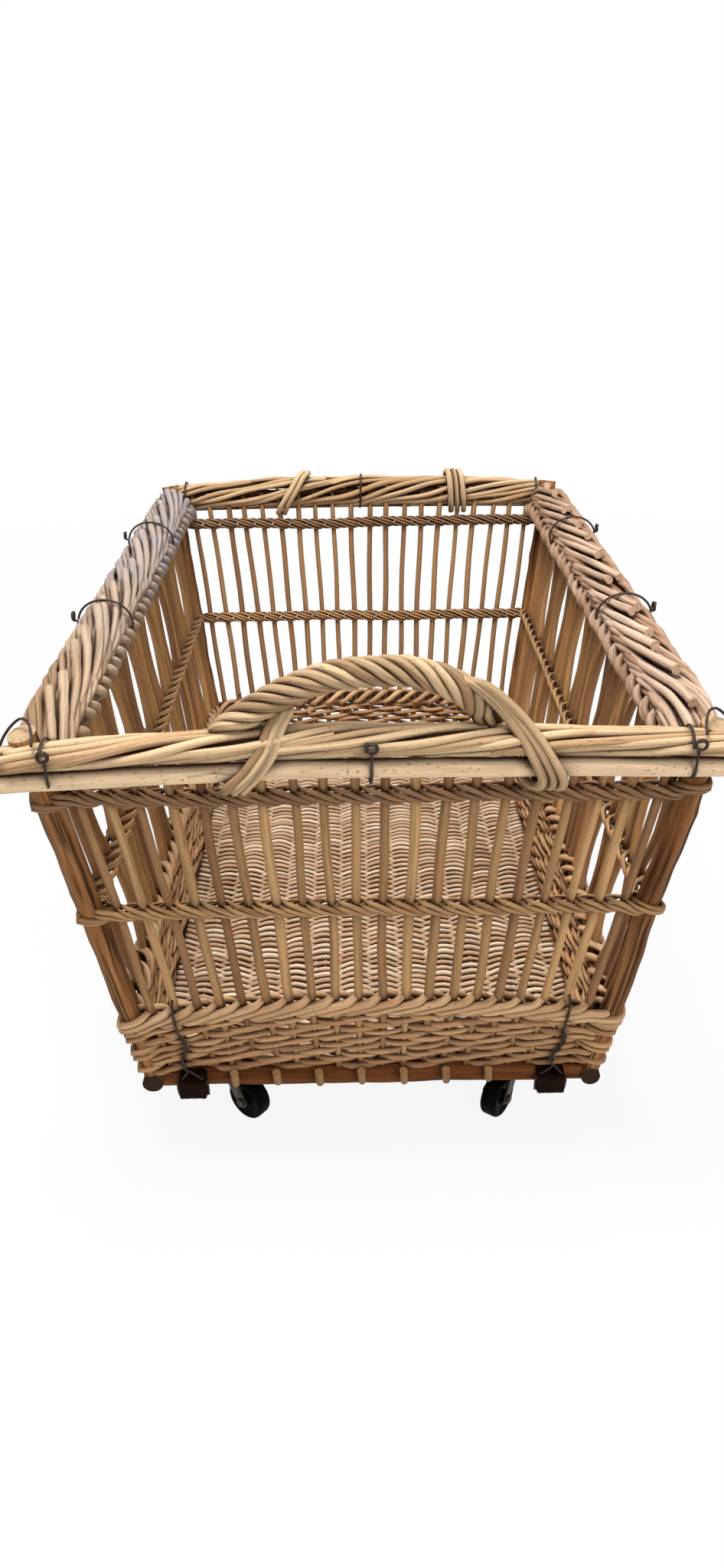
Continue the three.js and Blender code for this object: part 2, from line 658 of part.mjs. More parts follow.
// Rail across an end, butted to the side rails and half lapped over the runners
function endRail(sideY) {
  const y = sideY * endWall.reachAt(RAIL_Z);
  const rail = toSolid(railAcross(sideY, 0));
  const half = RUNNER_WIDTH / 2 + CLEARANCE;
  const laps = [-1, 1].map((side) => block(
    new THREE.Vector3(side * RUNNER_X - half, y - 2 * RAIL_RADIUS, RAIL_Z - 2 * RAIL_RADIUS),
    new THREE.Vector3(side * RUNNER_X + half, y + 2 * RAIL_RADIUS, RAIL_Z + CLEARANCE / 2),
  ));
  return without(rail, [sideRail(-1, CLEARANCE), sideRail(1, CLEARANCE), ...laps]);
}

// Square runner under the floor, lapped to take the end rails
function runner(sideX) {
  const x = sideX * RUNNER_X;
  const railY = endWall.reachAt(RAIL_Z);
  const reach = railY + RUNNER_OVERHANG;
  const bar = toSolid(block(
    new THREE.Vector3(x - RUNNER_WIDTH / 2, -reach, FRAME_TOP - RUNNER_HEIGHT),
    new THREE.Vector3(x + RUNNER_WIDTH / 2, reach, FRAME_TOP),
  ));
  const half = RAIL_RADIUS + CLEARANCE;
  const laps = [-1, 1].map((sideY) => block(
    new THREE.Vector3(x - RUNNER_WIDTH, sideY * railY - half, RAIL_Z - CLEARANCE / 2),
    new THREE.Vector3(x + RUNNER_WIDTH, sideY * railY + half, FRAME_TOP + RUNNER_HEIGHT),
  ));
  return without(bar, laps);
}

const BOARD_HALF_LENGTH = RUNNER_X - RUNNER_WIDTH / 2 - CLEARANCE;
const BOARD_OUTER_Y = endWall.reachAt(RAIL_Z) - RAIL_RADIUS - CLEARANCE;

// Board between the runners that carries two casters
function casterBoard(sideY) {
  const edges = [sideY * BOARD_OUTER_Y, sideY * (BOARD_OUTER_Y - BOARD_WIDTH)].sort((a, b) => a - b);
  return toSolid(block(
    new THREE.Vector3(-BOARD_HALF_LENGTH, edges[0], CASTER_HEIGHT),
    new THREE.Vector3(BOARD_HALF_LENGTH, edges[1], FRAME_TOP),
  ));
}

// Woven floor: each row goes over and under the ribs in turn, and the next row the other way round
function floorMat() {
  const halfBand = BAND_THICKNESS / 2 + CLEARANCE;
  const halfX = sideWall.reach - halfBand / Math.cos(sideWall.tilt);
  const halfY = endWall.reach - halfBand / Math.cos(endWall.tilt);
  const rings = [];
  for (let row = 0; row <= FLOOR_ROWS; row += 1) {
    const y = ((2 * row) / FLOOR_ROWS - 1) * halfY;
    const points = [new THREE.Vector3(-halfX, y, BASE_Z), new THREE.Vector3(halfX, y, BASE_Z)];
    for (let rib = 0; rib <= FLOOR_RIBS; rib += 1) {
      const x = (1 - (2 * rib) / FLOOR_RIBS) * halfX;
      const over = (row + rib) % 2;
      points.push(new THREE.Vector3(x, y, BASE_Z + FLOOR_THICKNESS + over * FLOOR_WEAVE_HEIGHT));
    }
    rings.push(points);
  }
  return toSolid(loft(rings));
}

// Levels of a caster, from its plate down to the axle
const PLATE_TOP = CASTER_HEIGHT - CLEARANCE;
const PLATE_UNDER = PLATE_TOP - PLATE_THICKNESS;
const RACE_UNDER = PLATE_UNDER - RACE_HEIGHT;
const CROWN_TOP = RACE_UNDER - CLEARANCE;
const CROWN_UNDER = CROWN_TOP - CROWN_THICKNESS;
const RIVET_TOP = CROWN_UNDER - CLEARANCE;
const LEG_INNER = WHEEL_WIDTH / 2 + LEG_GAP;
const LEG_OUTER = LEG_INNER + LEG_THICKNESS;

// Closed solid turned about the vertical
function turned(profile, segments) {
  const points = profile.map(([radius, z]) => new THREE.Vector2(radius, z));
  return new THREE.LatheGeometry(points, segments).rotateX(Math.PI / 2);
}

// Caster plate with its screw heads, ball race and riveted king pin
function casterPlate() {
  const plate = block(
    new THREE.Vector3(-PLATE_WIDTH / 2, -PLATE_LENGTH / 2, PLATE_UNDER),
    new THREE.Vector3(PLATE_WIDTH / 2, PLATE_LENGTH / 2, PLATE_TOP),
  );
  const plateMiddle = PLATE_TOP - PLATE_THICKNESS / 2;
  const swivel = turned([
    [0, plateMiddle],
    [RACE_RADIUS, plateMiddle],
    [RACE_RADIUS, RACE_UNDER],
    [KING_PIN_RADIUS, RACE_UNDER],
    [KING_PIN_RADIUS, RIVET_TOP],
    [RIVET_RADIUS, RIVET_TOP],
    [RIVET_RADIUS, RIVET_TOP - RIVET_HEIGHT],
    [0, RIVET_TOP - RIVET_HEIGHT],
  ], RACE_SEGMENTS);
  const screws = [-1, 1].flatMap((sideX) => [-1, 1].map((sideY) => {
    const x = sideX * (PLATE_WIDTH / 2 - SCREW_INSET);
    const y = sideY * (PLATE_LENGTH / 2 - SCREW_INSET);
    const low = new THREE.Vector3(x, y, PLATE_UNDER - SCREW_HEIGHT);
    return rod(low, new THREE.Vector3(x, y, plateMiddle), SCREW_RADIUS, SCREW_RADIUS, SCREW_SIDES);
  }));
  return joined([plate, swivel, ...screws]);
}

// Pressed fork: a round crown under the race and two legs that reach back to the axle, trail along +X
function casterFork() {
  const leg = new THREE.Shape();
  leg.moveTo(-LEG_FRONT, CROWN_TOP);
  leg.lineTo(LEG_FRONT, CROWN_TOP);
  leg.lineTo(CASTER_TRAIL + LEG_EYE_RADIUS, WHEEL_RADIUS);
  leg.absarc(CASTER_TRAIL, WHEEL_RADIUS, LEG_EYE_RADIUS, 0, -Math.PI, true);
  leg.lineTo(-LEG_FRONT, CROWN_UNDER - LEG_SHOULDER);
  leg.closePath();
  const settings = { depth: LEG_THICKNESS, bevelEnabled: false, curveSegments: LEG_EYE_STEPS };
  const legs = [-LEG_OUTER, LEG_INNER].map((y) => {
    const plate = new THREE.ExtrudeGeometry(leg, settings);
    return plate.rotateX(Math.PI / 2).translate(0, y + LEG_THICKNESS, 0);
  });
  const up = (radius, low, high, sides) => rod(
    new THREE.Vector3(0, 0, low), new THREE.Vector3(0, 0, high), radius, radius, sides);
  const crown = up(CROWN_RADIUS, CROWN_UNDER, CROWN_TOP, RACE_SEGMENTS);
  const pinHole = up(KING_PIN_RADIUS + KING_PIN_PLAY, 0, CASTER_HEIGHT, AXLE_SIDES);
  const axleHole = rod(
    new THREE.Vector3(CASTER_TRAIL, -2 * LEG_OUTER, WHEEL_RADIUS),
    new THREE.Vector3(CASTER_TRAIL, 2 * LEG_OUTER, WHEEL_RADIUS),
    AXLE_RADIUS + AXLE_PLAY, AXLE_RADIUS + AXLE_PLAY, AXLE_SIDES);
  return without(joined([crown, ...legs]), [pinHole, axleHole]);
}

// Axle bolt with a head outside each leg
function casterAxle() {
  const along = (radius, from, to, sides) => rod(
    new THREE.Vector3(CASTER_TRAIL, from, WHEEL_RADIUS),
    new THREE.Vector3(CASTER_TRAIL, to, WHEEL_RADIUS), radius, radius, sides);
  const seat = LEG_OUTER + CLEARANCE;
  const end = seat + AXLE_HEAD_HEIGHT;
  const heads = [-1, 1].map((side) => along(AXLE_HEAD_RADIUS, side * seat, side * end, SCREW_SIDES));
  return joined([along(AXLE_RADIUS, -end + CLEARANCE, end - CLEARANCE, AXLE_SIDES), ...heads]);
}

// Wheel with proud hubs and a chamfered tread, one flat of it on the floor
function casterWheel() {
  const half = WHEEL_WIDTH / 2;
  const bore = AXLE_RADIUS + AXLE_PLAY;
  const flats = Math.cos(Math.PI / WHEEL_SEGMENTS);
  const tread = WHEEL_RADIUS / flats;
  const side = [
    [tread, half - TREAD_CHAMFER],
    [(WHEEL_RADIUS - TREAD_CHAMFER) / flats, half],
    [HUB_RADIUS, half],
    [HUB_RADIUS, half + HUB_PROUD],
    [bore, half + HUB_PROUD],
  ];
  const other = side.map(([radius, y]) => [radius, -y]).reverse();
  const profile = [...other, ...side, other[0]].map(([radius, y]) => new THREE.Vector2(radius, y));
  const wheel = new THREE.LatheGeometry(profile, WHEEL_SEGMENTS, Math.PI / WHEEL_SEGMENTS);
  return toSolid(wheel.translate(CASTER_TRAIL, 0, WHEEL_RADIUS));
}

// One caster under a board; the swivel angle turns its trail from straight forward towards +X
function addCaster(name, sideX, sideY, swivel) {
  const x = sideX * (RUNNER_X - RUNNER_WIDTH / 2 - CASTER_INSET - PLATE_WIDTH / 2);
  const y = sideY * (BOARD_OUTER_Y - BOARD_WIDTH / 2);
  const fixed = new THREE.Group();
  fixed.position.set(x, y, 0);
  const turning = new THREE.Group();
  turning.rotation.z = THREE.MathUtils.degToRad(swivel - 90);
  fixed.add(turning);
  basket.add(fixed);
  addPart(fixed, `${name}_plate`, casterPlate(), steel);
  addPart(turning, `${name}_fork`, casterFork(), steel);
  addPart(turning, `${name}_axle`, casterAxle(), steel);
  addPart(turning, `${name}_wheel`, casterWheel(), rubber);
}

// Base frame and floor
for (const [sideX, side] of [[-1, 'left'], [1, 'right']]) {
  addPart(basket, `${side}_base_rail`, toSolid(sideRail(sideX, 0)), redWood);
  addPart(basket, `${side}_runner`, runner(sideX), darkWood);
}
for (const [sideY, end] of [[-1, 'front'], [1, 'back']]) {
  addPart(basket, `${end}_base_rail`, endRail(sideY), redWood);
  addPart(basket, `${end}_caster_board`, casterBoard(sideY), darkWood);
  for (const [sideX, side] of [[-1, 'left'], [1, 'right']]) {
    addPart(basket, `${end}_${side}_post`, cornerPost(sideX, sideY), barkWood);
  }
}
addPart(basket, 'woven_floor', floorMat(), floorWillow);

// End walls with their rims, handles and ties
const ends = [
  { name: 'front', turn: 0, gaps: [HANDLE_LEFT_GAPS, HANDLE_RIGHT_GAPS], leanOut: -endWall.tilt },
  { name: 'back', turn: Math.PI, gaps: [HANDLE_RIGHT_GAPS, HANDLE_LEFT_GAPS], leanOut: BACK_HANDLE_DROP },
];
for (const { name, turn, gaps, leanOut } of ends) {
  const { side, leaning } = wallGroup(endWall, turn);
  const solid = wallSolid(endWall, endStakeTop, endTopWale, stakeTips(endWall));
  addPart(leaning, `${name}_wall`, solid, willow);
  addPart(leaning, `${name}_rim_pole`, rimPole(), paleWillow);
  addPart(leaning, `${name}_rim_rods`, rimBundle(), paleWillow);
  addPart(leaning, `${name}_handle`, handleSolid(...gaps, leanOut), willow);
  [0, endWall.middleGap, endWall.stakes].forEach((gap, index) => {
    const u = endWall.gapAt(gap, endRim.vLow);
    addPart(leaning, `${name}_rim_tie_${index + 1}`, rimTie(endRim, u), ironWire);
  });
  [-1, 1].forEach((sideX, index) => {
    addPart(side, `${name}_runner_tie_${index + 1}`, runnerTie(sideX * RUNNER_X), ironWire);
  });
}

// Side walls with their rims and ties
const sides = [
  { name: 'right', turn: Math.PI / 2, tieGaps: [-FRONT_SIDE_TIE_GAPS, BACK_SIDE_TIE_GAPS] },
  { name: 'left', turn: -Math.PI / 2, tieGaps: [FRONT_SIDE_TIE_GAPS, -BACK_SIDE_TIE_GAPS] },
];
for (const { name, turn, tieGaps } of sides) {
  const { leaning } = wallGroup(sideWall, turn);
  addPart(leaning, `${name}_wall`, wallSolid(sideWall, sideRim.vLow, sideTopWale, []), willow);
  addPart(leaning, `${name}_rim_plait`, rimPlait(), paleWillow);
  tieGaps.forEach((gap, index) => {
    const u = sideWall.gapAt(sideWall.middleGap + gap, sideRim.vLow);
    addPart(leaning, `${name}_rim_tie_${index + 1}`, rimTie(sideRim, u), ironWire);
  });
}

// Casters, turned as they were left standing
addCaster('caster_front_left', -1, -1, FRONT_LEFT_SWIVEL);
addCaster('caster_front_right', 1, -1, FRONT_RIGHT_SWIVEL);
addCaster('caster_back_left', -1, 1, BACK_LEFT_SWIVEL);
addCaster('caster_back_right', 1, 1, BACK_RIGHT_SWIVEL);

// The origin goes to the middle of the box's underside
basket.updateMatrixWorld(true);
const middle = new THREE.Box3().setFromObject(basket, true).getCenter(new THREE.Vector3());
basket.position.set(-middle.x, -middle.y, 0);

export default basket;
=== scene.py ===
"""A willow laundry basket on swivel casters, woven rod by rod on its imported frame."""

import json
import logging
import math
from collections.abc import Sequence
from dataclasses import dataclass, field
from enum import Enum

import bpy
import numpy as np
from mathutils import Matrix, Vector

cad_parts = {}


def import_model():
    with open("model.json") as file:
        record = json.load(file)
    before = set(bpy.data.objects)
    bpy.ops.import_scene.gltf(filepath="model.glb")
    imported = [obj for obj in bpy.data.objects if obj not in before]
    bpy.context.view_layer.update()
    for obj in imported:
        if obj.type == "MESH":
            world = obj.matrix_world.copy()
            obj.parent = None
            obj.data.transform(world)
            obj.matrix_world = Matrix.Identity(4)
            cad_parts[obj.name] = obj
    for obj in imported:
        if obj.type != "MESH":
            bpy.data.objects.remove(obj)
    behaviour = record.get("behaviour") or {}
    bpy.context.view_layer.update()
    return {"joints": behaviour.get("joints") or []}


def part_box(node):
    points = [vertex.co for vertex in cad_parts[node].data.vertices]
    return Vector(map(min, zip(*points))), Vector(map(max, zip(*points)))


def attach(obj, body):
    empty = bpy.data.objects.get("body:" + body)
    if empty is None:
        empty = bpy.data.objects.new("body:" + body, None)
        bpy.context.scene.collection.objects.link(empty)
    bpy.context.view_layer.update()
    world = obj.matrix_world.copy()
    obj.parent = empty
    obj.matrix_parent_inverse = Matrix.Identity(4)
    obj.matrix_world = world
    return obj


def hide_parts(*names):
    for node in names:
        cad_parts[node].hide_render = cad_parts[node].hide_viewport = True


LOG = logging.getLogger("laundry_basket")
BASKET = "basket"
CORNERS = ("front_left", "front_right", "back_left", "back_right")
UP = np.array((0.0, 0.0, 1.0))
TURN = 2.0 * math.pi
WEAR_SPAN = (0.3, 0.7)
CREVICE_SHADE_SAMPLES = 6
SMOOTH_ANGLE = math.radians(35)
FEWEST_POINTS = 4

Array = np.ndarray
Material = bpy.types.Material
Piece = bpy.types.Object
Socket = bpy.types.NodeSocket
Numbers = np.ndarray | float
Span = tuple[float, float]
Row = tuple[float, ...]
Triple = tuple[float, float, float]
Colour = Triple
Route = tuple[Triple, ...]


def srgb(red: int, green: int, blue: int) -> Colour:
    """Turns screen values from 0 to 255 into the linear colour that a shader takes."""
    shares = np.array((red, green, blue)) / 255.0
    linear = np.where(shares <= 0.04045, shares / 12.92, ((shares + 0.055) / 1.055) ** 2.4)
    return tuple(float(value) for value in linear)


class Side(Enum):
    """The four walls, numbered as they follow each other round the basket."""

    FRONT = 0
    RIGHT = 1
    BACK = 2
    LEFT = 3

    @property
    def word(self) -> str:
        """The side's name as the pieces write it."""
        return self.name.lower()

    @property
    def is_end(self) -> bool:
        """Whether it is one of the two short walls."""
        return self in (Side.FRONT, Side.BACK)


class Slot(Enum):
    """The record's material slots."""

    POST = "bark_post"
    STAKE = "willow_stake"
    PALE = "pale_willow"
    FLOOR = "floor_willow"
    RAIL = "red_rail"
    RUNNER = "dark_runner"
    WIRE = "iron_wire"
    STEEL = "caster_steel"
    RUBBER = "wheel_rubber"


@dataclass(frozen=True)
class Grain:
    """A noise drawn out along the rods, by its rates round a rod and along it."""

    round_about: float
    along: float
    detail: float


class Recipe:
    """A node material being mixed, with short calls for the nodes that the finishes share."""

    def __init__(self, name: str) -> None:
        """Starts a material that holds one Principled shader.

        Args:
            name: The material's name.
        """
        self.material = bpy.data.materials.new(name)
        self.material.use_nodes = True
        self.tree = self.material.node_tree
        self.shader = self.tree.nodes["Principled BSDF"]

    def put(self, node: bpy.types.Node, socket: str, value: object) -> None:
        """Links an output to an input, or sets the input to a plain value.

        Args:
            node: The node that owns the input.
            socket: The input's name.
            value: Another node's output, or a number, vector or colour.
        """
        target = node.inputs[socket]
        if isinstance(value, Socket):
            self.tree.links.new(value, target)
        elif target.type == "RGBA":
            target.default_value = (*value, 1.0)
        else:
            target.default_value = value

    def add(self, kind: str, output: str, inputs: dict[str, object], **settings: object) -> Socket:
        """Adds a node.

        Args:
            kind: The node's kind.
            output: The output that is wanted.
            inputs: What its inputs take, by their names.
            settings: The node's own settings.

        Returns:
            The wanted output.
        """
        node = self.tree.nodes.new(f"ShaderNode{kind}")
        for name, setting in settings.items():
            setattr(node, name, setting)
        for socket, value in inputs.items():
            self.put(node, socket, value)
        return node.outputs[output]

    def attribute(self, name: str, output: str = "Fac") -> Socket:
        """Reads one of the mesh's own attributes."""
        return self.add("Attribute", output, {}, attribute_name=name)

    def place(self) -> Socket:
        """Reads the object coordinates."""
        return self.add("TexCoord", "Object", {})

    def stretch(self, vector: Socket, scale: Sequence[float]) -> Socket:
        """Scales a vector along its three axes."""
        return self.add("Mapping", "Vector", {"Vector": vector, "Scale": tuple(scale)})

    def noise(self, vector: Socket, scale: float, detail: float = 3.0) -> Socket:
        """Adds a noise of the given scale and detail."""
        return self.add("TexNoise", "Fac", {"Vector": vector, "Scale": scale, "Detail": detail})

    def grain(self, kind: Grain) -> Socket:
        """Adds a noise that follows the rods."""
        rates = (kind.round_about, kind.round_about, kind.along)
        return self.noise(self.stretch(self.attribute("grain", "Vector"), rates), 1.0, kind.detail)

    def spread(
        self, value: Socket, low: float, high: float, to_low: float = 0.0, to_high: float = 1.0
    ) -> Socket:
        """Maps a range of values to another, and holds its ends.

        Args:
            value: The value to map.
            low: The input that becomes to_low.
            high: The input that becomes to_high.
            to_low: The first output.
            to_high: The second output.

        Returns:
            The mapped value.
        """
        ends = {"From Min": low, "From Max": high, "To Min": to_low, "To Max": to_high}
        return self.add("MapRange", "Result", {"Value": value, **ends})

    def blend(self, share: object, first: object, second: object, how: str = "MIX") -> Socket:
        """Mixes two colours.

        Args:
            share: How much of the second colour shows.
            first: The colour at share 0.
            second: The colour at share 1.
            how: The name of the blend.

        Returns:
            The mixed colour.
        """
        return self.add("MixRGB", "Color", {"Fac": share, "Color1": first, "Color2": second}, blend_type=how)

    def sum(self, first: object, second: object, how: str = "ADD") -> Socket:
        """Adds two values, or joins them by another sum."""
        node = self.tree.nodes.new("ShaderNodeMath")
        node.operation = how
        for socket, value in zip(node.inputs, (first, second)):
            if isinstance(value, Socket):
                self.tree.links.new(value, socket)
            else:
                socket.default_value = value
        return node.outputs[0]

    def crevice_shade(self, reach: float) -> Socket:
        """Finds the gaps between rods for painted shade: 1 on open faces and 0 deep between them."""
        return self.add("AmbientOcclusion", "AO", {"Distance": reach}, samples=CREVICE_SHADE_SAMPLES)

    def dress(self, colour: Socket, wear: Socket, roughness: Span, gloss: float) -> None:
        """Sets what the shader shows.

        Args:
            colour: The surface colour.
            wear: A noise that roughens the surface.
            roughness: The roughness of its smooth and its worn spots.
            gloss: How strongly the surface reflects.
        """
        self.put(self.shader, "Base Color", colour)
        self.put(self.shader, "Roughness", self.spread(wear, *WEAR_SPAN, *roughness))
        self.put(self.shader, "Specular IOR Level", gloss)

    def bump(self, height: Socket, strength: float, distance: float) -> None:
        """Roughens the shader's surface by a height."""
        inputs = {"Height": height, "Strength": strength, "Distance": distance}
        self.put(self.shader, "Normal", self.add("Bump", "Normal", inputs))


@dataclass(frozen=True)
class WillowFinish:
    """Willow rods: tone from rod to rod, long streaks, pores, knots and dirt, painted shade deep in the weave
    and in the gaps between rods, and sawn ends.
    """

    name: str
    pale: Colour
    deep: Colour
    streak: Colour
    grey: Colour = srgb(176, 164, 158)
    sawn: Colour = srgb(226, 200, 160)
    # The dark colour of pores, knots and dirt, and of the painted shade in the weave.
    grime: Colour = srgb(46, 20, 5)
    grey_share: float = 0.12
    grey_span: Span = (-2.0, -1.9)
    streak_share: float = 0.6
    # Painted shade in the gaps between rods: how far it reaches and how dark it gets.
    pore_share: float = 0.6
    crevice_shade_reach: float = 0.014
    crevice_shade_share: float = 0.94
    roughness: float = 0.55
    gloss: float = 0.12
    streaks: Grain = Grain(1.2, 8.0, 5.0)
    fibres: Grain = Grain(5.0, 26.0, 3.0)
    fibre_share: float = 0.3
    pores: Grain = Grain(3.6, 230.0, 1.0)
    knots: Grain = Grain(0.8, 16.0, 2.0)
    knot_share: float = 0.7
    patch_rate: float = 11.0
    ring_rate: float = 420.0

    def material(self) -> Material:
        """Mixes the finish.

        Returns:
            The node material.
        """
        mix = Recipe(self.name)
        place = mix.place()
        streaks = mix.grain(self.streaks)
        fibres = mix.grain(self.fibres)
        patches = mix.noise(place, self.patch_rate, 4.0)
        colour = mix.blend(mix.attribute("tone"), self.deep, self.pale)
        dark_streaks = mix.spread(streaks, 0.48, 0.72, 0.0, self.streak_share)
        colour = mix.blend(dark_streaks, colour, self.streak)
        dark_fibres = mix.spread(fibres, *WEAR_SPAN, self.fibre_share, 0.0)
        colour = mix.blend(dark_fibres, colour, self.streak, "MULTIPLY")
        fade = mix.spread(mix.add("SeparateXYZ", "Y", {"Vector": place}), *self.grey_span)
        greyness = mix.spread(patches, 0.36, 0.62, 0.3, self.grey_share * 1.3)
        greyness = mix.sum(mix.sum(greyness, fade, "MULTIPLY"), self.grey_share, "MINIMUM")
        colour = mix.blend(greyness, colour, self.grey)
        spots = mix.spread(mix.grain(self.pores), 0.66, 0.74, 0.0, self.pore_share)
        marks = mix.spread(mix.grain(self.knots), 0.7, 0.78, 0.0, self.knot_share)
        # Painted shade: the gaps between rods are darkened towards the dark colour.
        gaps = mix.spread(mix.crevice_shade(self.crevice_shade_reach), 0.25, 0.92, self.crevice_shade_share, 0.0)
        # Pores, knots and dirt are real marks; the per-vertex darkening and the gaps are painted shade.
        for darkening in (spots, marks, mix.attribute("grime"), gaps):
            colour = mix.blend(darkening, colour, self.grime)
        rings = mix.spread(mix.noise(place, self.ring_rate, 2.0), 0.4, 0.7, 0.0, 0.5)
        ends = mix.blend(rings, self.sawn, self.streak)
        colour = mix.blend(mix.attribute("sawn"), colour, ends)
        mix.dress(colour, fibres, (self.roughness - 0.1, self.roughness + 0.15), self.gloss)
        mix.bump(mix.sum(streaks, mix.sum(fibres, 0.6, "MULTIPLY")), 0.35, 0.0008)
        return mix.material


@dataclass(frozen=True)
class BarkFinish:
    """Sticks with their bark half worn off: black streaks and patches of pale wood, and grey sawn heads."""

    name: str
    wood: Colour
    bark: Colour
    black: Colour
    sawn: Colour
    bark_share: float = 0.75
    black_share: float = 0.8
    roughness: float = 0.62
    gloss: float = 0.12
    wear: Grain = Grain(0.9, 5.0, 6.0)
    streaks: Grain = Grain(2.4, 7.0, 6.0)
    fibres: Grain = Grain(9.0, 22.0, 3.0)
    crack_scale: Triple = (1.0, 1.0, 0.2)
    crack_rate: float = 260.0
    crack_share: float = 0.35

    def material(self) -> Material:
        """Mixes the finish.

        Returns:
            The node material.
        """
        mix = Recipe(self.name)
        worn = mix.grain(self.wear)
        streaks = mix.grain(self.streaks)
        fibres = mix.grain(self.fibres)
        colour = mix.blend(mix.spread(worn, 0.40, 0.56, 0.0, self.bark_share), self.wood, self.bark)
        colour = mix.blend(mix.spread(streaks, 0.52, 0.62, 0.0, self.black_share), colour, self.black)
        colour = mix.blend(mix.spread(fibres, 0.35, 0.65, 0.35, 0.0), colour, self.black, "MULTIPLY")
        cracks = mix.noise(mix.stretch(mix.place(), self.crack_scale), self.crack_rate, 4.0)
        ends = mix.blend(mix.spread(cracks, 0.52, 0.64, 0.0, self.crack_share), self.sawn, self.black)
        colour = mix.blend(mix.attribute("sawn"), colour, ends)
        mix.dress(colour, worn, (self.roughness - 0.12, self.roughness + 0.14), self.gloss)
        mix.bump(mix.sum(streaks, mix.sum(fibres, 0.7, "MULTIPLY")), 0.6, 0.0015)
        return mix.material


@dataclass(frozen=True)
class PlankFinish:
    """Dark sawn bars: grain along their length, scuffs and dust."""

    name: str
    base: Colour
    grain: Colour
    dust: Colour
    grain_scale: Triple = (90.0, 6.0, 90.0)
    dust_rate: float = 34.0
    dust_share: float = 0.2
    roughness: float = 0.6
    gloss: float = 0.05

    def material(self) -> Material:
        """Mixes the finish.

        Returns:
            The node material.
        """
        mix = Recipe(self.name)
        place = mix.place()
        lines = mix.noise(mix.stretch(place, self.grain_scale), 1.0, 5.0)
        dust = mix.noise(place, self.dust_rate, 5.0)
        colour = mix.blend(mix.spread(lines, 0.38, 0.66), self.base, self.grain)
        colour = mix.blend(mix.spread(dust, 0.58, 0.78, 0.0, self.dust_share), colour, self.dust)
        mix.dress(colour, dust, (self.roughness - 0.1, self.roughness + 0.2), self.gloss)
        mix.bump(lines, 0.4, 0.0008)
        return mix.material


@dataclass(frozen=True)
class MetalFinish:
    """Worn steel or wire: a bright base, rust or dirt in patches and fine scratches."""

    name: str
    base: Colour
    stain: Colour
    stain_share: float = 0.6
    metallic: float = 0.9
    roughness: float = 0.42
    patch_rate: float = 160.0
    scratch_scale: Triple = (1400.0, 180.0, 1400.0)

    def material(self) -> Material:
        """Mixes the finish.

        Returns:
            The node material.
        """
        mix = Recipe(self.name)
        place = mix.place()
        patches = mix.noise(place, self.patch_rate, 5.0)
        scratches = mix.noise(mix.stretch(place, self.scratch_scale), 1.0, 2.0)
        stained = mix.spread(patches, 0.42, 0.66, 0.0, self.stain_share)
        metal = mix.spread(patches, 0.45, 0.68, self.metallic, self.metallic * 0.4)
        rough = mix.spread(patches, 0.35, 0.7, self.roughness, self.roughness + 0.3)
        mix.put(mix.shader, "Base Color", mix.blend(stained, self.base, self.stain))
        mix.put(mix.shader, "Metallic", metal)
        mix.put(mix.shader, "Roughness", rough)
        mix.bump(scratches, 0.12, 0.0003)
        return mix.material


@dataclass(frozen=True)
class RubberFinish:
    """Black wheel rubber with dust worked into the tread."""

    name: str
    base: Colour
    dust: Colour
    dust_rate: float = 90.0
    dust_share: float = 0.5
    pit_rate: float = 900.0
    roughness: float = 0.5
    gloss: float = 0.04

    def material(self) -> Material:
        """Mixes the finish.

        Returns:
            The node material.
        """
        mix = Recipe(self.name)
        place = mix.place()
        dust = mix.noise(place, self.dust_rate, 5.0)
        pits = mix.noise(place, self.pit_rate, 2.0)
        colour = mix.blend(mix.spread(dust, 0.5, 0.72, 0.0, self.dust_share), self.base, self.dust)
        mix.dress(colour, dust, (self.roughness - 0.1, self.roughness + 0.25), self.gloss)
        mix.bump(pits, 0.15, 0.0004)
        return mix.material


def slow_noise(rng: np.random.Generator, count: int, swells: float) -> Array:
    """Draws a slow random line.

    Args:
        rng: The source of the draw.
        count: The number of samples.
        swells: About how many swells the line has.

    Returns:
        Samples between about -1 and 1.
    """
    place = np.linspace(0.0, swells, count)
    phases = rng.random(3) * TURN
    rates = (0.61, 1.0, 1.73)
    return sum(np.sin(TURN * place * rate + phase) / 2.0 for rate, phase in zip(rates, phases))


def through(points: Array, step: float) -> Array:
    """Runs a smooth line through given points.

    Args:
        points: The points, one a row.
        step: About how far apart the line's samples are.

    Returns:
        The samples of the line.
    """
    points = np.asarray(points, float)
    padded = np.vstack((2 * points[0] - points[1], points, 2 * points[-1] - points[-2]))
    pieces = []
    for before, start, end, after in zip(padded, padded[1:], padded[2:], padded[3:]):
        count = max(2, math.ceil(np.linalg.norm(end - start) / step))
        share = np.linspace(0.0, 1.0, count, endpoint=False)[:, None]
        bend = 2 * start + (end - before) * share + (2 * before - 5 * start + 4 * end - after) * share**2
        pieces.append((bend + (3 * start - before - 3 * end + after) * share**3) / 2)
    return np.vstack((*pieces, points[-1]))


def eased(values: Array, rounds: int = 1) -> Array:
    """Smooths a row of samples, whose ends stay."""
    result = np.array(values, float)
    for _ in range(rounds):
        result[1:-1] = (result[:-2] + 2 * result[1:-1] + result[2:]) / 4
    return result


def unit(vectors: Array) -> Array:
    """Scales vectors, one a row, to a length of one."""
    return vectors / np.maximum(np.linalg.norm(vectors, axis=-1, keepdims=True), 1e-12)


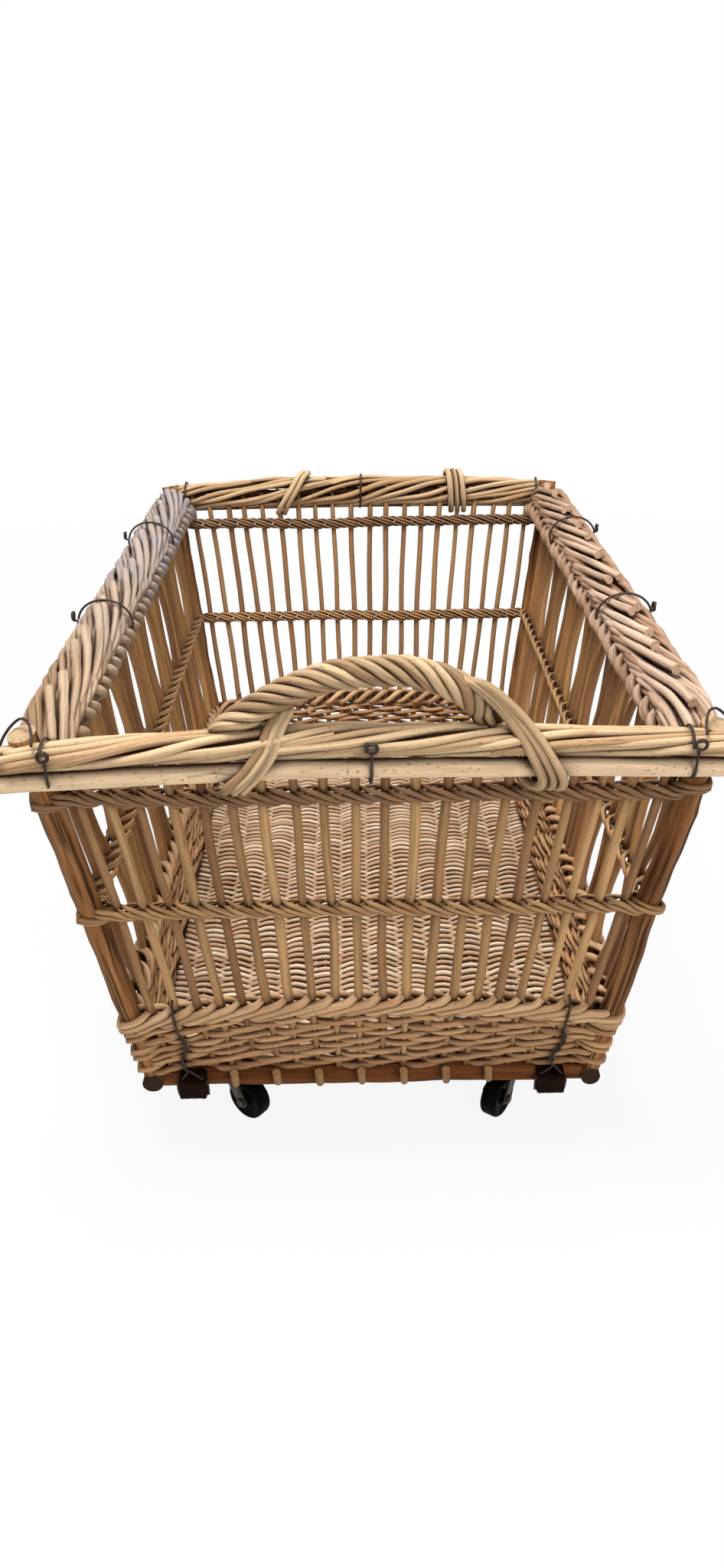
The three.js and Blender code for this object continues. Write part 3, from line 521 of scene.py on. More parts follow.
@dataclass
class RodBundle:
    """Rods gathered into one mesh, each a closed tube with sawn ends.

    The mesh carries the attributes that the finishes read: grain, the place round and along a rod; tone, from
    a dark rod to a pale one; grime, from a clean spot to a dark one, which paints shade deep in the weave and
    on hidden rods as well as some dirt; and sawn, which marks the cut ends.
    """

    name: str
    sides: int
    rng: np.random.Generator
    lumps: float = 0.05
    lump_length: float = 0.12
    grain_shift: float = 40.0
    points: list[Array] = field(default_factory=list)
    corners: list[Array] = field(default_factory=list)
    caps: list[Array] = field(default_factory=list)
    grain: list[Array] = field(default_factory=list)
    tones: list[Array] = field(default_factory=list)
    dirt_and_shade_values: list[Array] = field(default_factory=list)
    used: int = 0

    def add(
        self,
        path: Array,
        radius: Numbers,
        tone: float | None = None,
        grime: Numbers = 0.0,
    ) -> None:
        """Sweeps one rod along a path.

        Args:
            path: The rod's middle line, one point a row.
            radius: The rod's radius, the same all along or one for each point.
            tone: How pale the rod is, from 0 to 1, or None for a draw.
            grime: How dark the rod is painted, by dirt and by painted shade, the same all along or one for
                each point.
        """
        count = len(path)
        tangents = unit(np.gradient(path, axis=0))
        normal = np.cross(tangents[0], np.eye(3)[np.argmin(np.abs(tangents[0]))])
        normals = np.empty_like(path)
        for row, tangent in enumerate(tangents):
            normal = normal - tangent * (normal @ tangent)
            normal = normal / np.linalg.norm(normal)
            normals[row] = normal
        binormals = np.cross(tangents, normals)
        angles = np.linspace(0.0, TURN, self.sides, endpoint=False)
        lengths = np.concatenate(((0.0,), np.cumsum(np.linalg.norm(np.diff(path, axis=0), axis=1))))
        waist = 1.0 + self.lumps * slow_noise(self.rng, count, 2.0 + lengths[-1] / self.lump_length)
        oval = 1.0 + self.lumps * np.cos(2 * angles + self.rng.random() * TURN)
        reach = (np.broadcast_to(radius, count) * waist)[:, None, None] * oval[None, :, None]
        cosines, sines = np.cos(angles)[:, None], np.sin(angles)[:, None]
        spokes = cosines * normals[:, None, :] + sines * binormals[:, None, :]
        self.points.append((path[:, None, :] + reach * spokes).reshape(-1, 3))
        rows = self.used + np.arange(count - 1)[:, None] * self.sides
        ring = np.arange(self.sides)[None, :]
        ahead = (ring + 1) % self.sides
        quads = (rows + ring, rows + ahead, rows + self.sides + ahead, rows + self.sides + ring)
        self.corners.append(np.stack(quads, axis=-1).reshape(-1, 4))
        first = self.used + ring[0]
        self.caps += [first[::-1], first + (count - 1) * self.sides]
        along = np.repeat(lengths + self.rng.random() * self.grain_shift, self.sides)
        round_about = np.tile(np.stack((np.cos(angles), np.sin(angles)), axis=1), (count, 1))
        self.grain.append(np.column_stack((round_about, along)))
        pale = self.rng.random() if tone is None else tone
        self.tones.append(np.full(count * self.sides, pale))
        self.dirt_and_shade_values.append(np.repeat(np.broadcast_to(grime, count), self.sides))
        self.used += count * self.sides

    def build(self, finish: Material) -> Piece:
        """Makes the mesh of all rods and dresses it.

        Args:
            finish: The material of the rods.

        Returns:
            The new object.
        """
        quads = np.concatenate(self.corners)
        caps = np.stack(self.caps)
        mesh = bpy.data.meshes.new(self.name)
        mesh.vertices.add(self.used)
        mesh.vertices.foreach_set("co", np.concatenate(self.points).astype(np.float32).ravel())
        mesh.loops.add(quads.size + caps.size)
        mesh.loops.foreach_set("vertex_index", np.concatenate((quads.ravel(), caps.ravel())).astype(np.int32))
        starts = (np.arange(len(quads)) * 4, quads.size + np.arange(len(caps)) * self.sides)
        mesh.polygons.add(len(quads) + len(caps))
        mesh.polygons.foreach_set("loop_start", np.concatenate(starts).astype(np.int32))
        is_cap = np.arange(len(quads) + len(caps)) >= len(quads)
        mesh.polygons.foreach_set("use_smooth", ~is_cap)
        mesh.update(calc_edges=True)
        grain = mesh.attributes.new("grain", "FLOAT_VECTOR", "POINT")
        grain.data.foreach_set("vector", np.concatenate(self.grain).astype(np.float32).ravel())
        for name, values in (("tone", self.tones), ("grime", self.dirt_and_shade_values)):
            layer = mesh.attributes.new(name, "FLOAT", "POINT")
            layer.data.foreach_set("value", np.concatenate(values).astype(np.float32))
        sawn = mesh.attributes.new("sawn", "FLOAT", "FACE")
        sawn.data.foreach_set("value", is_cap.astype(np.float32))
        mesh.materials.append(finish)
        piece = bpy.data.objects.new(self.name, mesh)
        bpy.context.scene.collection.objects.link(piece)
        return piece


def settle(piece: Piece, nodes: Sequence[str] = (), body: str = BASKET) -> Piece:
    """Gives a finished piece its body and the solids that it stands for.

    Args:
        piece: The finished object.
        nodes: The solids that the piece replaces.
        body: The body that the piece rides on.

    Returns:
        The same object.
    """
    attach(piece, body)
    if nodes:
        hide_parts(*nodes)
    LOG.info("%s: %d faces on %s", piece.name, len(piece.data.polygons), body)
    return piece


@dataclass(frozen=True)
class Wall:
    """One flaring wall, as a plane through the middles of its stakes."""

    side: Side
    base_span: float
    top_span: float
    reach: float
    flare: float
    height: float
    foot: float
    middle: float
    stakes: int

    @property
    def along(self) -> Array:
        """The level direction along the wall, anticlockwise from above."""
        turn = self.side.value * math.pi / 2
        return np.array((math.cos(turn), math.sin(turn), 0.0))

    @property
    def outward(self) -> Array:
        """The level direction out of the basket."""
        return np.cross(self.along, UP)

    @property
    def normal(self) -> Array:
        """The direction square to the flaring wall, outwards."""
        return unit(self.outward * self.height - UP * self.flare)

    def half_span(self, rise: Numbers) -> Numbers:
        """Half of the wall's width at a height above its foot."""
        return (self.base_span + (self.top_span - self.base_span) * rise / self.height) / 2

    def share(self, stake: int) -> float:
        """A stake's place along the wall, from -1 to 1."""
        return 2.0 * (stake + 1) / (self.stakes + 1) - 1.0

    def place(self, along: Numbers, depth: Numbers, level: Numbers) -> Array:
        """Places points in the basket by the wall's directions.

        Args:
            along: Distance from the wall's middle.
            depth: Distance out from the basket's middle.
            level: Height above the floor.

        Returns:
            The points, one a row.
        """
        along, depth, level = np.broadcast_arrays(along, depth, level)
        flat = along[..., None] * self.along + depth[..., None] * self.outward
        return flat + level[..., None] * UP + np.array((0.0, self.middle, 0.0))

    def point(self, along: Numbers, rise: Numbers, out: Numbers) -> Array:
        """Places points on the wall.

        Args:
            along: Distance from the wall's middle.
            rise: Height above the wall's foot.
            out: Distance out of the wall's plane.

        Returns:
            The points, one a row.
        """
        along, rise, out = np.broadcast_arrays(along, rise, out)
        depth = self.reach + rise * (self.flare / self.height)
        return self.place(along, depth, self.foot + rise) + out[..., None] * self.normal


@dataclass
class Basket:
    """The basket's form: four walls that meet on its corner posts."""

    top: Span = (0.600, 0.920)
    base: Span = (0.485, 0.774)
    height: float = 0.441
    foot: float = 0.0923
    end_stakes: int = 20
    side_stakes: int = 32
    stake_radius: float = 0.0047
    corner_reach: float = 0.7
    blend_rounds: int = 20

    def __post_init__(self) -> None:
        """Lays out the walls round the middle of the floor."""
        low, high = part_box("woven_floor")
        self.middle = (low.y + high.y) / 2
        self.walls = [self.make_wall(side) for side in Side]
        self.starts = np.cumsum([0] + [wall.stakes + 1 for wall in self.walls])

    def make_wall(self, side: Side) -> Wall:
        """Lays out one wall."""
        across, deep = (0, 1) if side.is_end else (1, 0)
        return Wall(
            side=side,
            base_span=self.base[across],
            top_span=self.top[across],
            reach=self.base[deep] / 2,
            flare=(self.top[deep] - self.base[deep]) / 2,
            height=self.height,
            foot=self.foot,
            middle=self.middle,
            stakes=self.end_stakes if side.is_end else self.side_stakes,
        )

    @property
    def count(self) -> int:
        """How many stakes and posts stand round the basket."""
        return int(self.starts[-1])

    def lap(self, steps: int) -> Array:
        """Stake numbers all round the basket, with so many steps from stake to stake."""
        return np.linspace(0.0, self.count, self.count * steps + 1)

    def wall_number(self, places: Array) -> Array:
        """The number of the wall that places round the basket lie on, or 4 where a lap ends."""
        return np.searchsorted(self.starts, places, side="right") - 1

    def long_side(self, places: Array) -> Array:
        """Tells where the weave shows its long strokes: 1 outside on the front wall, -1 inside elsewhere."""
        is_front = self.wall_number(places) == Side.FRONT.value
        return eased(np.where(is_front, 1.0, -1.0), self.blend_rounds)

    def post_nearness(self, places: Array) -> Array:
        """How close places round the basket are to a post: 1 on it, 0 one stake away."""
        gaps = np.abs(places[:, None] - self.starts[None, :])
        near = np.clip(1.0 - gaps.min(axis=1), 0.0, 1.0)
        return near * near * (3 - 2 * near)

    def share(self, places: Array) -> Array:
        """Where places round the basket lie on their own wall, from -1 to 1."""
        index = np.clip(self.wall_number(places), 0, 3)
        counts = np.diff(self.starts)[index]
        return 2.0 * (places - self.starts[index]) / counts - 1.0

    def at(self, places: Array, rise: Numbers, out: Numbers) -> Array:
        """Places points round the basket.

        Args:
            places: Stake numbers round the basket from the front left post, with parts of a stake.
            rise: Heights above the walls' foot.
            out: Distances out of the walls.

        Returns:
            The points, one a row.
        """
        rise = np.broadcast_to(rise, places.shape)
        out = np.broadcast_to(out, places.shape)
        index = np.clip(self.wall_number(places), 0, 3)
        share = self.share(places)
        points = np.empty((len(places), 3))
        for number, wall in enumerate(self.walls):
            here = index == number
            width = wall.half_span(rise[here])
            flat = wall.point(share[here] * width, rise[here], 0.0)
            stakes_off = (1.0 - np.abs(share[here])) * (wall.stakes + 1) / 2
            turn = np.clip(1.0 - stakes_off / self.corner_reach, 0.0, 1.0) / 2
            step = np.where(share[here] > 0, 1, -1)
            beside = np.array([self.walls[(number + move) % 4].normal for move in step]).reshape(-1, 3)
            normal = unit((1 - turn)[:, None] * wall.normal + turn[:, None] * beside)
            points[here] = flat + out[here][:, None] * normal
        return points


@dataclass
class StakeWalls:
    """The upright stakes of the walls, and the tips of some that hang in front of the end rails."""

    basket: Basket
    top_rise: dict[Side, float]
    finish: Material
    side_finish: Material
    seed: int = 11
    rings: int = 18
    root: float = 0.002
    girths: Span = (0.92, 1.1)
    taper: Span = (1.05, 0.94)
    sway: float = 0.0013
    tip_drop: float = 0.009
    tip_root: float = 0.010
    tip_out: float = 0.0155
    tip_radius: float = 0.0045
    tip_lengths: Span = (0.8, 1.15)
    tip_taper: Row = (1.0, 1.0, 0.98, 0.95, 0.9)
    tip_lean: float = 0.001
    tip_keep_off: Span = (0.172, 0.220)
    wale_rises: Span = (0.237, 0.374)
    band_rise: float = 0.090
    # Painted shade on the stakes where they pass behind the wales: how dark, and how far it spreads.
    wale_shade: float = 0.25
    wale_shade_reach: float = 0.016
    foot_radius: float = 0.0040
    foot_share: float = 0.8
    back_girth: float = 0.86
    # Painted shade: the back wall's stakes draw darker tones, as that wall stands in shade.
    back_shaded_tones: Span = (0.0, 0.45)
    slit_bow: float = 0.016
    slit_step: int = 5
    slit_fade: float = 1.3

    def build(self) -> None:
        """Makes one piece of stakes for each wall."""
        for wall in self.basket.walls:
            rng = np.random.default_rng(self.seed + wall.side.value)
            self.bundle = RodBundle(f"{wall.side.word}_stakes", sides=8, rng=rng, lumps=0.03)
            is_end = wall.side.is_end
            slits = [] if is_end else [self.draw_slits(rng, wall) for _ in self.wale_rises]
            for stake in range(wall.stakes):
                self.add_stake(wall, stake, slits)
            if is_end:
                self.add_tips(wall)
            finish = self.finish if is_end else self.side_finish
            settle(self.bundle.build(finish), [f"{wall.side.word}_wall"])

    def draw_slits(self, rng: np.random.Generator, wall: Wall) -> Array:
        """Draws which gaps between stakes stand open in one stretch of a wall."""
        places = np.arange(self.slit_step // 2, wall.stakes - 1, self.slit_step)
        return places + rng.integers(-1, 2, len(places)) + 0.5

    def bowing(self, stake: int, rise: Array, slits: list[Array]) -> Array:
        """How far a stake bows away from the open gaps beside it.

        Args:
            stake: The stake's number.
            rise: Heights along the stake.
            slits: The open gaps of each stretch between the band and the wales.

        Returns:
            The shift along the wall at each height.
        """
        shift = np.zeros_like(rise)
        levels = (self.band_rise, *self.wale_rises)
        for low, high, gaps in zip(levels, levels[1:], slits):
            apart = stake - gaps
            push = np.sum(np.sign(apart) * np.exp(-(np.abs(apart) - 0.5) / self.slit_fade))
            swell = np.sin(math.pi * np.clip((rise - low) / (high - low), 0.0, 1.0))
            shift += self.slit_bow * push * swell
        return shift

    def add_stake(self, wall: Wall, stake: int, slits: list[Array]) -> None:
        """Adds one stake from the foot of the wall to the rim.

        Args:
            wall: The stake's wall.
            stake: The stake's number.
            slits: The open gaps of each stretch of the wall.
        """
        rng = self.bundle.rng
        is_back = wall.side is Side.BACK
        rise = np.linspace(self.root, self.top_rise[wall.side], self.rings)
        lean = rng.normal(0.0, self.sway)
        along = wall.share(stake) * wall.half_span(rise) + self.sway * slow_noise(rng, self.rings, 1.3)
        along = along + lean * np.linspace(-1, 1, self.rings) + self.bowing(stake, rise, slits)
        out = 0.5 * self.sway * slow_noise(rng, self.rings, 1.5)
        girth = self.back_girth if is_back else 1.0
        size = girth * self.basket.stake_radius * rng.uniform(*self.girths)
        size = size * np.linspace(*self.taper, self.rings)
        size = np.where(rise < self.band_rise * self.foot_share, self.foot_radius, size)
        # Painted shade: each stake darkens where it passes behind a wale.
        darkening = sum(np.exp(-(((rise - wale) / self.wale_shade_reach) ** 2)) for wale in self.wale_rises)
        # Painted shade: darker tones for the back wall's stakes.
        tone = rng.uniform(*self.back_shaded_tones) if is_back else None
        self.bundle.add(wall.point(along, rise, out), size, tone, self.wale_shade * darkening)

    def add_tips(self, wall: Wall) -> None:
        """Adds the stake tips that show below the band in front of an end rail.

        Args:
            wall: An end wall.
        """
        for stake in range(1, wall.stakes, 2):
            along = wall.share(stake) * wall.half_span(0.0)
            if self.tip_keep_off[0] < abs(along) < self.tip_keep_off[1]:
                continue
            drop = self.tip_drop * self.bundle.rng.uniform(*self.tip_lengths)
            rise = np.linspace(self.tip_root, -drop, len(self.tip_taper))
            lean = np.linspace(0, self.tip_lean, len(self.tip_taper))
            radius = self.tip_radius * np.array(self.tip_taper)
            self.bundle.add(wall.point(along + lean, rise, self.tip_out), radius, tone=0.35, grime=0.1)


@dataclass
class TwinedWale:
    """Three double rods at one height round the basket, each in front of two stakes and behind the next."""

    basket: Basket
    name: str
    finish: Material
    seed: int
    rise: float
    rod_radius: float = 0.0026
    swing: float = 0.0078
    post_swing: float = 0.0165
    lift: float = 0.0052
    side_radius: float = 0.0034
    side_swing: float = 0.0125
    side_lift: float = 0.0030
    side_pair: float = 0.35
    back_rise: float = 0.0
    side_rise: float = 0.0
    strands: int = 3
    steps: int = 10
    wander: float = 0.0012
    flatness: float = 1.6
    long_share: float = 0.45
    leaf: Span = (0.84, 0.24)
    tones: Span = (0.2, 0.9)

    def build(self) -> None:
        """Makes the strands of the wale."""
        rng = np.random.default_rng(self.seed)
        bundle = RodBundle(self.name, sides=6, rng=rng)
        places = self.basket.lap(self.steps)
        wander = self.wander * slow_noise(rng, len(places), 9.0)
        wander = wander * np.minimum(1.0, np.minimum(places, self.basket.count - places))
        number = self.basket.wall_number(places)
        is_side = number % 2 == 1
        side = eased(is_side.astype(float), self.basket.blend_rounds)
        swing = self.swing + (self.side_swing - self.swing) * side
        swing = swing + (self.post_swing - swing) * self.basket.post_nearness(places)
        lift = self.lift + (self.side_lift - self.lift) * side
        size = self.rod_radius + (self.side_radius - self.rod_radius) * side
        apart = (size * (1.0 + (self.side_pair - 1.0) * side))[:, None]
        raised = np.where(is_side, self.side_rise, 0.0)
        raised = np.where(number == Side.BACK.value, self.back_rise, raised)
        middle = self.rise + wander + eased(raised, 2 * self.basket.blend_rounds)
        line = self.basket.at(places, middle, 0.0)
        for strand in range(self.strands):
            phase = TURN * (places + strand) / self.strands
            beat = np.tanh(self.flatness * np.cos(phase) + self.long_share * self.basket.long_side(places))
            out = swing * beat
            rise = middle - lift * np.sin(phase)
            path = eased(self.basket.at(places, rise, out))
            aside = unit(np.cross(np.gradient(path, axis=0), path - line))
            # Painted shade: the strands darken where they pass between the stakes, deep in the weave.
            grime = np.clip(0.3 - 0.4 * beat * beat, 0.0, 0.5)
            for sign in (-1, 1):
                leaf = size * (self.leaf[0] + self.leaf[1] * np.cos(phase))
                bundle.add(path + sign * apart * aside, leaf, rng.uniform(*self.tones), grime)
        settle(bundle.build(self.finish))


@dataclass
class FootBand:
    """The close-woven band at the foot of the walls, with a thick border that arches over each wall."""

    basket: Basket
    finish: Material
    border_finish: Material
    seed: int = 31
    rows: int = 16
    rod_radius: float = 0.0034
    swing: float = 0.0046
    flatness: float = 1.5
    post_swing: float = 0.0150
    slope: float = 0.0016
    low: float = 0.0040
    end_height: float = 0.076
    arch: float = 0.022
    border_radius: float = 0.0044
    border_swing: float = 0.0088
    border_slope: float = 0.0110
    border_lift: float = 0.004
    border_strands: int = 4
    border_flatness: float = 2.2
    border_beat: Span = (1.6, 0.9)
    border_tones: Span = (0.4, 0.9)
    lumps: float = 0.06
    steps: int = 8
    arch_power: float = 2.4
    first_row: float = 0.4
    stroke: int = 3
    long_share: float = 0.3
    wander: float = 0.0013
    girths: Span = (0.88, 1.12)
    tones: Span = (0.1, 0.9)

    def crest(self, places: Array) -> Array:
        """The height of the band's upper edge round the basket."""
        return self.end_height + self.arch * (1.0 - np.abs(self.basket.share(places)) ** self.arch_power)

    def swings(self, places: Array, swing: float) -> Array:
        """How far the rods swing out round the stakes and the posts."""
        return swing + (self.post_swing - swing) * self.basket.post_nearness(places)

    def build(self) -> None:
        """Makes the rows and the border."""
        rng = np.random.default_rng(self.seed)
        bundle = RodBundle("foot_band", sides=6, rng=rng, lumps=self.lumps)
        places = self.basket.lap(self.steps)
        crest = self.crest(places)
        swing = self.swings(places, self.swing)
        shift = 0
        for row in range(self.rows):
            shift += rng.integers(1, 3)
            phase = TURN * (places + shift) / self.stroke
            level = self.low + (crest - self.low) * (row + self.first_row) / self.rows
            wander = self.wander * slow_noise(rng, len(places), 26.0)
            beat = np.tanh(self.flatness * (np.cos(phase) + self.long_share * self.basket.long_side(places)))
            rise = level + wander + self.slope * np.sin(phase)
            path = eased(self.basket.at(places, rise, swing * beat))
            size = self.rod_radius * rng.uniform(*self.girths) * (0.96 + 0.06 * beat)
            # Painted shade: the rows darken where they pass between the stakes, deep in the weave.
            bundle.add(path, size, rng.uniform(*self.tones), 0.25 * (1.0 - np.abs(beat)))
        settle(bundle.build(self.finish))
        self.build_border(places, crest)

    def build_border(self, places: Array, crest: Array) -> None:
        """Makes the border: four rods that each pass in front of three stakes and behind one.

        Args:
            places: Stake numbers round the basket.
            crest: The height of the rows' upper edge there.
        """
        rng = np.random.default_rng(self.seed + 1)
        bundle = RodBundle("band_border", sides=7, rng=rng, lumps=self.lumps)
        swing = self.swings(places, self.border_swing)
        count = self.border_strands
        strength, bias = self.border_beat
        for strand in range(count):
            beat = (places + strand) % count
            turn = TURN * (beat - (count - 1) / 2) / count
            side = np.tanh(self.border_flatness * (strength * np.cos(turn) + bias))
            climb = np.interp(beat, (0, count - 1, count), (-1.0, 1.0, -1.0))
            rise = crest + self.border_lift + self.border_slope * eased(climb, 6)
            path = eased(self.basket.at(places, rise, swing * side), 2)
            # Painted shade: the border rods darken where they pass between the stakes.
            bundle.add(path, self.border_radius, rng.uniform(*self.border_tones), 0.2 * (1.0 - np.abs(side)))
        settle(bundle.build(self.border_finish))


@dataclass
class FloorWeave:
    """The woven floor: ribs along the basket and close rows of thin rods across them."""

    finish: Material
    seed: int = 51
    ribs: int = 12
    rib_pitch: float = 0.036
    rib_radius: float = 0.0040
    rod_radius: float = 0.0032
    row_pitch: float = 0.0055
    swing: float = 0.0052
    step: float = 0.0045
    wave: float = 0.0035
    waves: Route = ((0.21, 0.37, 1.0), (0.093, -0.19, 0.6))
    wander: float = 0.0004
    girths: Span = (0.88, 1.14)
    sunk: float = 0.0015
    reach: float = 0.006
    rib_samples: int = 24

    def build(self) -> None:
        """Makes the floor in a front and a back half."""
        low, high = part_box("woven_floor")
        middle = (low.y + high.y) / 2
        level = low.z + self.rib_radius + self.rod_radius - self.sunk
        across = np.arange(low.x - self.reach, high.x + self.reach + self.step / 2, self.step)
        rows = np.arange(low.y - self.reach, high.y + self.reach, self.row_pitch)
        for half, word in enumerate(("front", "back")):
            rng = np.random.default_rng(self.seed + half)
            self.bundle = RodBundle(f"floor_weave_{word}", sides=6, rng=rng)
            for row, start in enumerate(rows):
                if (start > middle) == bool(half):
                    self.add_row(across, row, start, level)
            if half:
                self.add_ribs(low, high, level)
            settle(self.bundle.build(self.finish), ["woven_floor"])

    def add_row(self, across: Array, row: int, start: float, level: float) -> None:
        """Adds one rod across the floor.

        Args:
            across: Places along the rod.
            row: The rod's number.
            start: The rod's place along the basket.
            level: The height of the ribs' middle.
        """
        place = across / self.rib_pitch + self.ribs / 2 - 0.5
        phase = math.pi * (place + row)
        drift = sum(part * np.sin(TURN * (across / wide + start / long)) for wide, long, part in self.waves)
        depth = start + self.wave * drift + self.wander * slow_noise(self.bundle.rng, len(across), 6.0)
        height = level + self.swing * np.cos(phase)
        # Painted shade: each row darkens where it dips under a rib.
        grime = np.clip(-0.75 * np.cos(phase), 0.0, 0.8)
        size = self.rod_radius * self.bundle.rng.uniform(*self.girths)
        self.bundle.add(np.column_stack((across, depth, height)), size, None, grime)

    def add_ribs(self, low: Vector, high: Vector, level: float) -> None:
        """Adds the long ribs.

        Args:
            low: The floor's lowest corner.
            high: The floor's highest corner.
            level: The height of the ribs' middle.
        """
        depth = np.linspace(low.y, high.y, self.rib_samples)
        for rib in range(self.ribs):
            side = (rib - (self.ribs - 1) / 2) * self.rib_pitch
            line = np.column_stack(np.broadcast_arrays(side, depth, level))
            # Painted shade: the ribs lie under the rows and are darkened.
            self.bundle.add(line, self.rib_radius, tone=0.3, grime=0.5)


@dataclass
class SidePlait:
    """The thick plaited border on a side wall.

    Rods come up over the inner edge and rise on the slant like shingles. One in three ends on top with a sawn
    tip, and the others run on over the outer edge. Thin ends and a row of knobs lie along the inner edge.
    """

    wall: Wall
    finish: Material
    seed: int
    pitch: float = 0.054
    lay: float = 0.255
    tip_radius: float = 0.0051
    rod_radius: float = 0.0037
    thin_radius: float = 0.0028
    knob_radius: float = 0.0056
    relief: float = 0.0062
    half_width: float = 0.0210
    half_height: float = 0.0160
    turn: Span = (212.0, 80.0)
    tip_tones: Span = (0.5, 0.88)
    long_tones: Span = (0.15, 0.7)
    thin_tones: Span = (0.1, 0.8)
    root: float = -0.08
    tip_rise: float = 1.2
    tip_shares: Span = (-0.14, 0.06)
    tip_levels: Row = (-0.7, -0.1, 0.6, 0.9, 1.35)
    long_places: Row = (0.3, 0.7)
    long_shift: float = 0.08
    long_steps: Row = (0.0, 0.3, 0.6, 1.0, 1.25, 1.7)
    long_levels: Row = (-0.7, 0.5, -0.9, -0.8, 0.6, -0.5)
    thin_places: Row = (0.2, 0.5, 0.8)
    thin_shift: float = 0.06
    thin_root: float = -0.1
    thin_ends: Span = (0.3, 0.5)
    start_shift: float = 0.004
    turn_shift: float = 3.0
    darkening: float = 0.08
    knob_half: float = 0.012
    knob_out: Row = (-0.004, 0.002, 0.0060, 0.0072, 0.0060, 0.001, -0.006)
    knob_heights: Span = (-0.022, -0.001)
    knob_shift: float = 0.0015
    knob_tones: Span = (0.2, 0.7)
    core_radius: float = 0.0062
    core_low: tuple[Span, ...] = ((-0.013, -0.006), (0.0, -0.008), (0.013, -0.006))
    core_high: tuple[Span, ...] = ((-0.008, 0.006), (0.008, 0.006))
    core_samples: int = 30
    overhang: float = 0.004
    end_inset: float = 0.003
    end_bend: float = 0.070
    end_drop: float = 0.024
    step: float = 0.005

    def build(self) -> None:
        """Makes the plait of one wall."""
        node = f"{self.wall.side.word}_rim_plait"
        low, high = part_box(node)
        self.reach = max(abs(low.x), abs(high.x)) - (high.x - low.x) / 2
        self.level = high.z - self.half_height - self.tip_rise * self.relief - self.tip_radius
        self.half_length = (high.y - low.y) / 2 + self.overhang
        rng = np.random.default_rng(self.seed)
        self.bundle = RodBundle(f"{self.wall.side.word}_plait", sides=10, rng=rng)
        for strand in range(math.ceil((2 * self.half_length + self.lay) / self.pitch) + 1):
            start = -self.half_length + strand * self.pitch + rng.normal(0.0, self.start_shift)
            self.add_tip_rod(start, 1.0 + rng.uniform(*self.tip_shares))
            for share in self.long_places:
                place = share + rng.uniform(-self.long_shift, self.long_shift)
                self.add_long_rod(start + self.pitch * place)
            for share in self.thin_places:
                place = share + rng.uniform(-self.thin_shift, self.thin_shift)
                self.add_thin_rod(start + self.pitch * place)
        self.add_knobs()
        self.add_core()
        settle(self.bundle.build(self.finish), [node])

    def frame(self, along: Array, across: Numbers, height: Numbers) -> Array:
        """Places points by their distance along the rim, out from its middle and above its level."""
        bend = np.clip((np.abs(along) - self.half_length + self.end_bend) / self.end_bend, 0.0, 1.0)
        height = height - self.end_drop * bend * bend
        return self.wall.place(along, self.reach + across, self.level + height)

    def lay_rod(self, start: float, share: Array, swell: Array, size: Array, tones: Span) -> None:
        """Lays a slanting rod over the plait's round back, cut off at the ends of the rim.

        Args:
            start: Where the rod comes up on the inner edge.
            share: The steps of the crossing that it covers.
            swell: How far the rod lies above the back.
            size: The rod's radius.
            tones: The darkest and palest tone it may have.
        """
        along = start - self.lay * share
        inside = np.abs(along) < self.half_length - self.end_inset
        if np.count_nonzero(inside) < FEWEST_POINTS:
            return
        first, last = self.turn
        slip = self.bundle.rng.normal(0.0, self.turn_shift)
        angle = np.radians(first + (last - first) * share[inside] + slip)
        across = (self.half_width + swell[inside]) * np.cos(angle)
        height = (self.half_height + swell[inside]) * np.sin(angle)
        tone = self.bundle.rng.uniform(*tones)
        self.bundle.add(self.frame(along[inside], across, height), size[inside], tone, self.darkening)

    def add_tip_rod(self, start: float, tip: float) -> None:
        """Adds a rod that thickens, rises over its neighbours and ends on top.

        Args:
            start: Where the rod comes up on the inner edge.
            tip: The share of the crossing where it ends.
        """
        share = np.arange(self.root, tip, self.step / self.lay)
        steps = (0.0, 0.35, tip - 0.3, tip - 0.1, tip)
        swell = self.relief * np.interp(share, steps, self.tip_levels)
        size = self.tip_radius * self.bundle.rng.uniform(0.92, 1.06)
        size = size * np.interp(share, (0.0, 0.5, tip), (0.62, 0.8, 1.0))
        self.lay_rod(start, share, swell, size, self.tip_tones)

    def add_long_rod(self, start: float) -> None:
        """Adds a rod that dips under the tips and comes up again along the outer edge."""
        end = self.long_steps[-1]
        share = np.arange(self.root, end, self.step / self.lay)
        places = share + self.bundle.rng.uniform(-self.long_shift, self.long_shift)
        swell = self.relief * np.interp(places, self.long_steps, self.long_levels)
        size = self.rod_radius * self.bundle.rng.uniform(0.86, 1.12)
        size = size * np.interp(share, (0.0, 0.5, end), (0.85, 0.95, 1.1))
        self.lay_rod(start, share, swell, size, self.long_tones)

    def add_thin_rod(self, start: float) -> None:
        """Adds a thin end that shows along the inner edge."""
        share = np.arange(self.thin_root, self.bundle.rng.uniform(*self.thin_ends), self.step / self.lay)
        swell = self.relief * np.interp(share, (0.0, 0.15, 0.45), (-0.2, 0.35, -0.6))
        size = self.thin_radius * self.bundle.rng.uniform(0.85, 1.15)
        size = size * np.interp(share, (0.0, 0.5), (1.1, 0.8))
        self.lay_rod(start, share, swell, size, self.thin_tones)

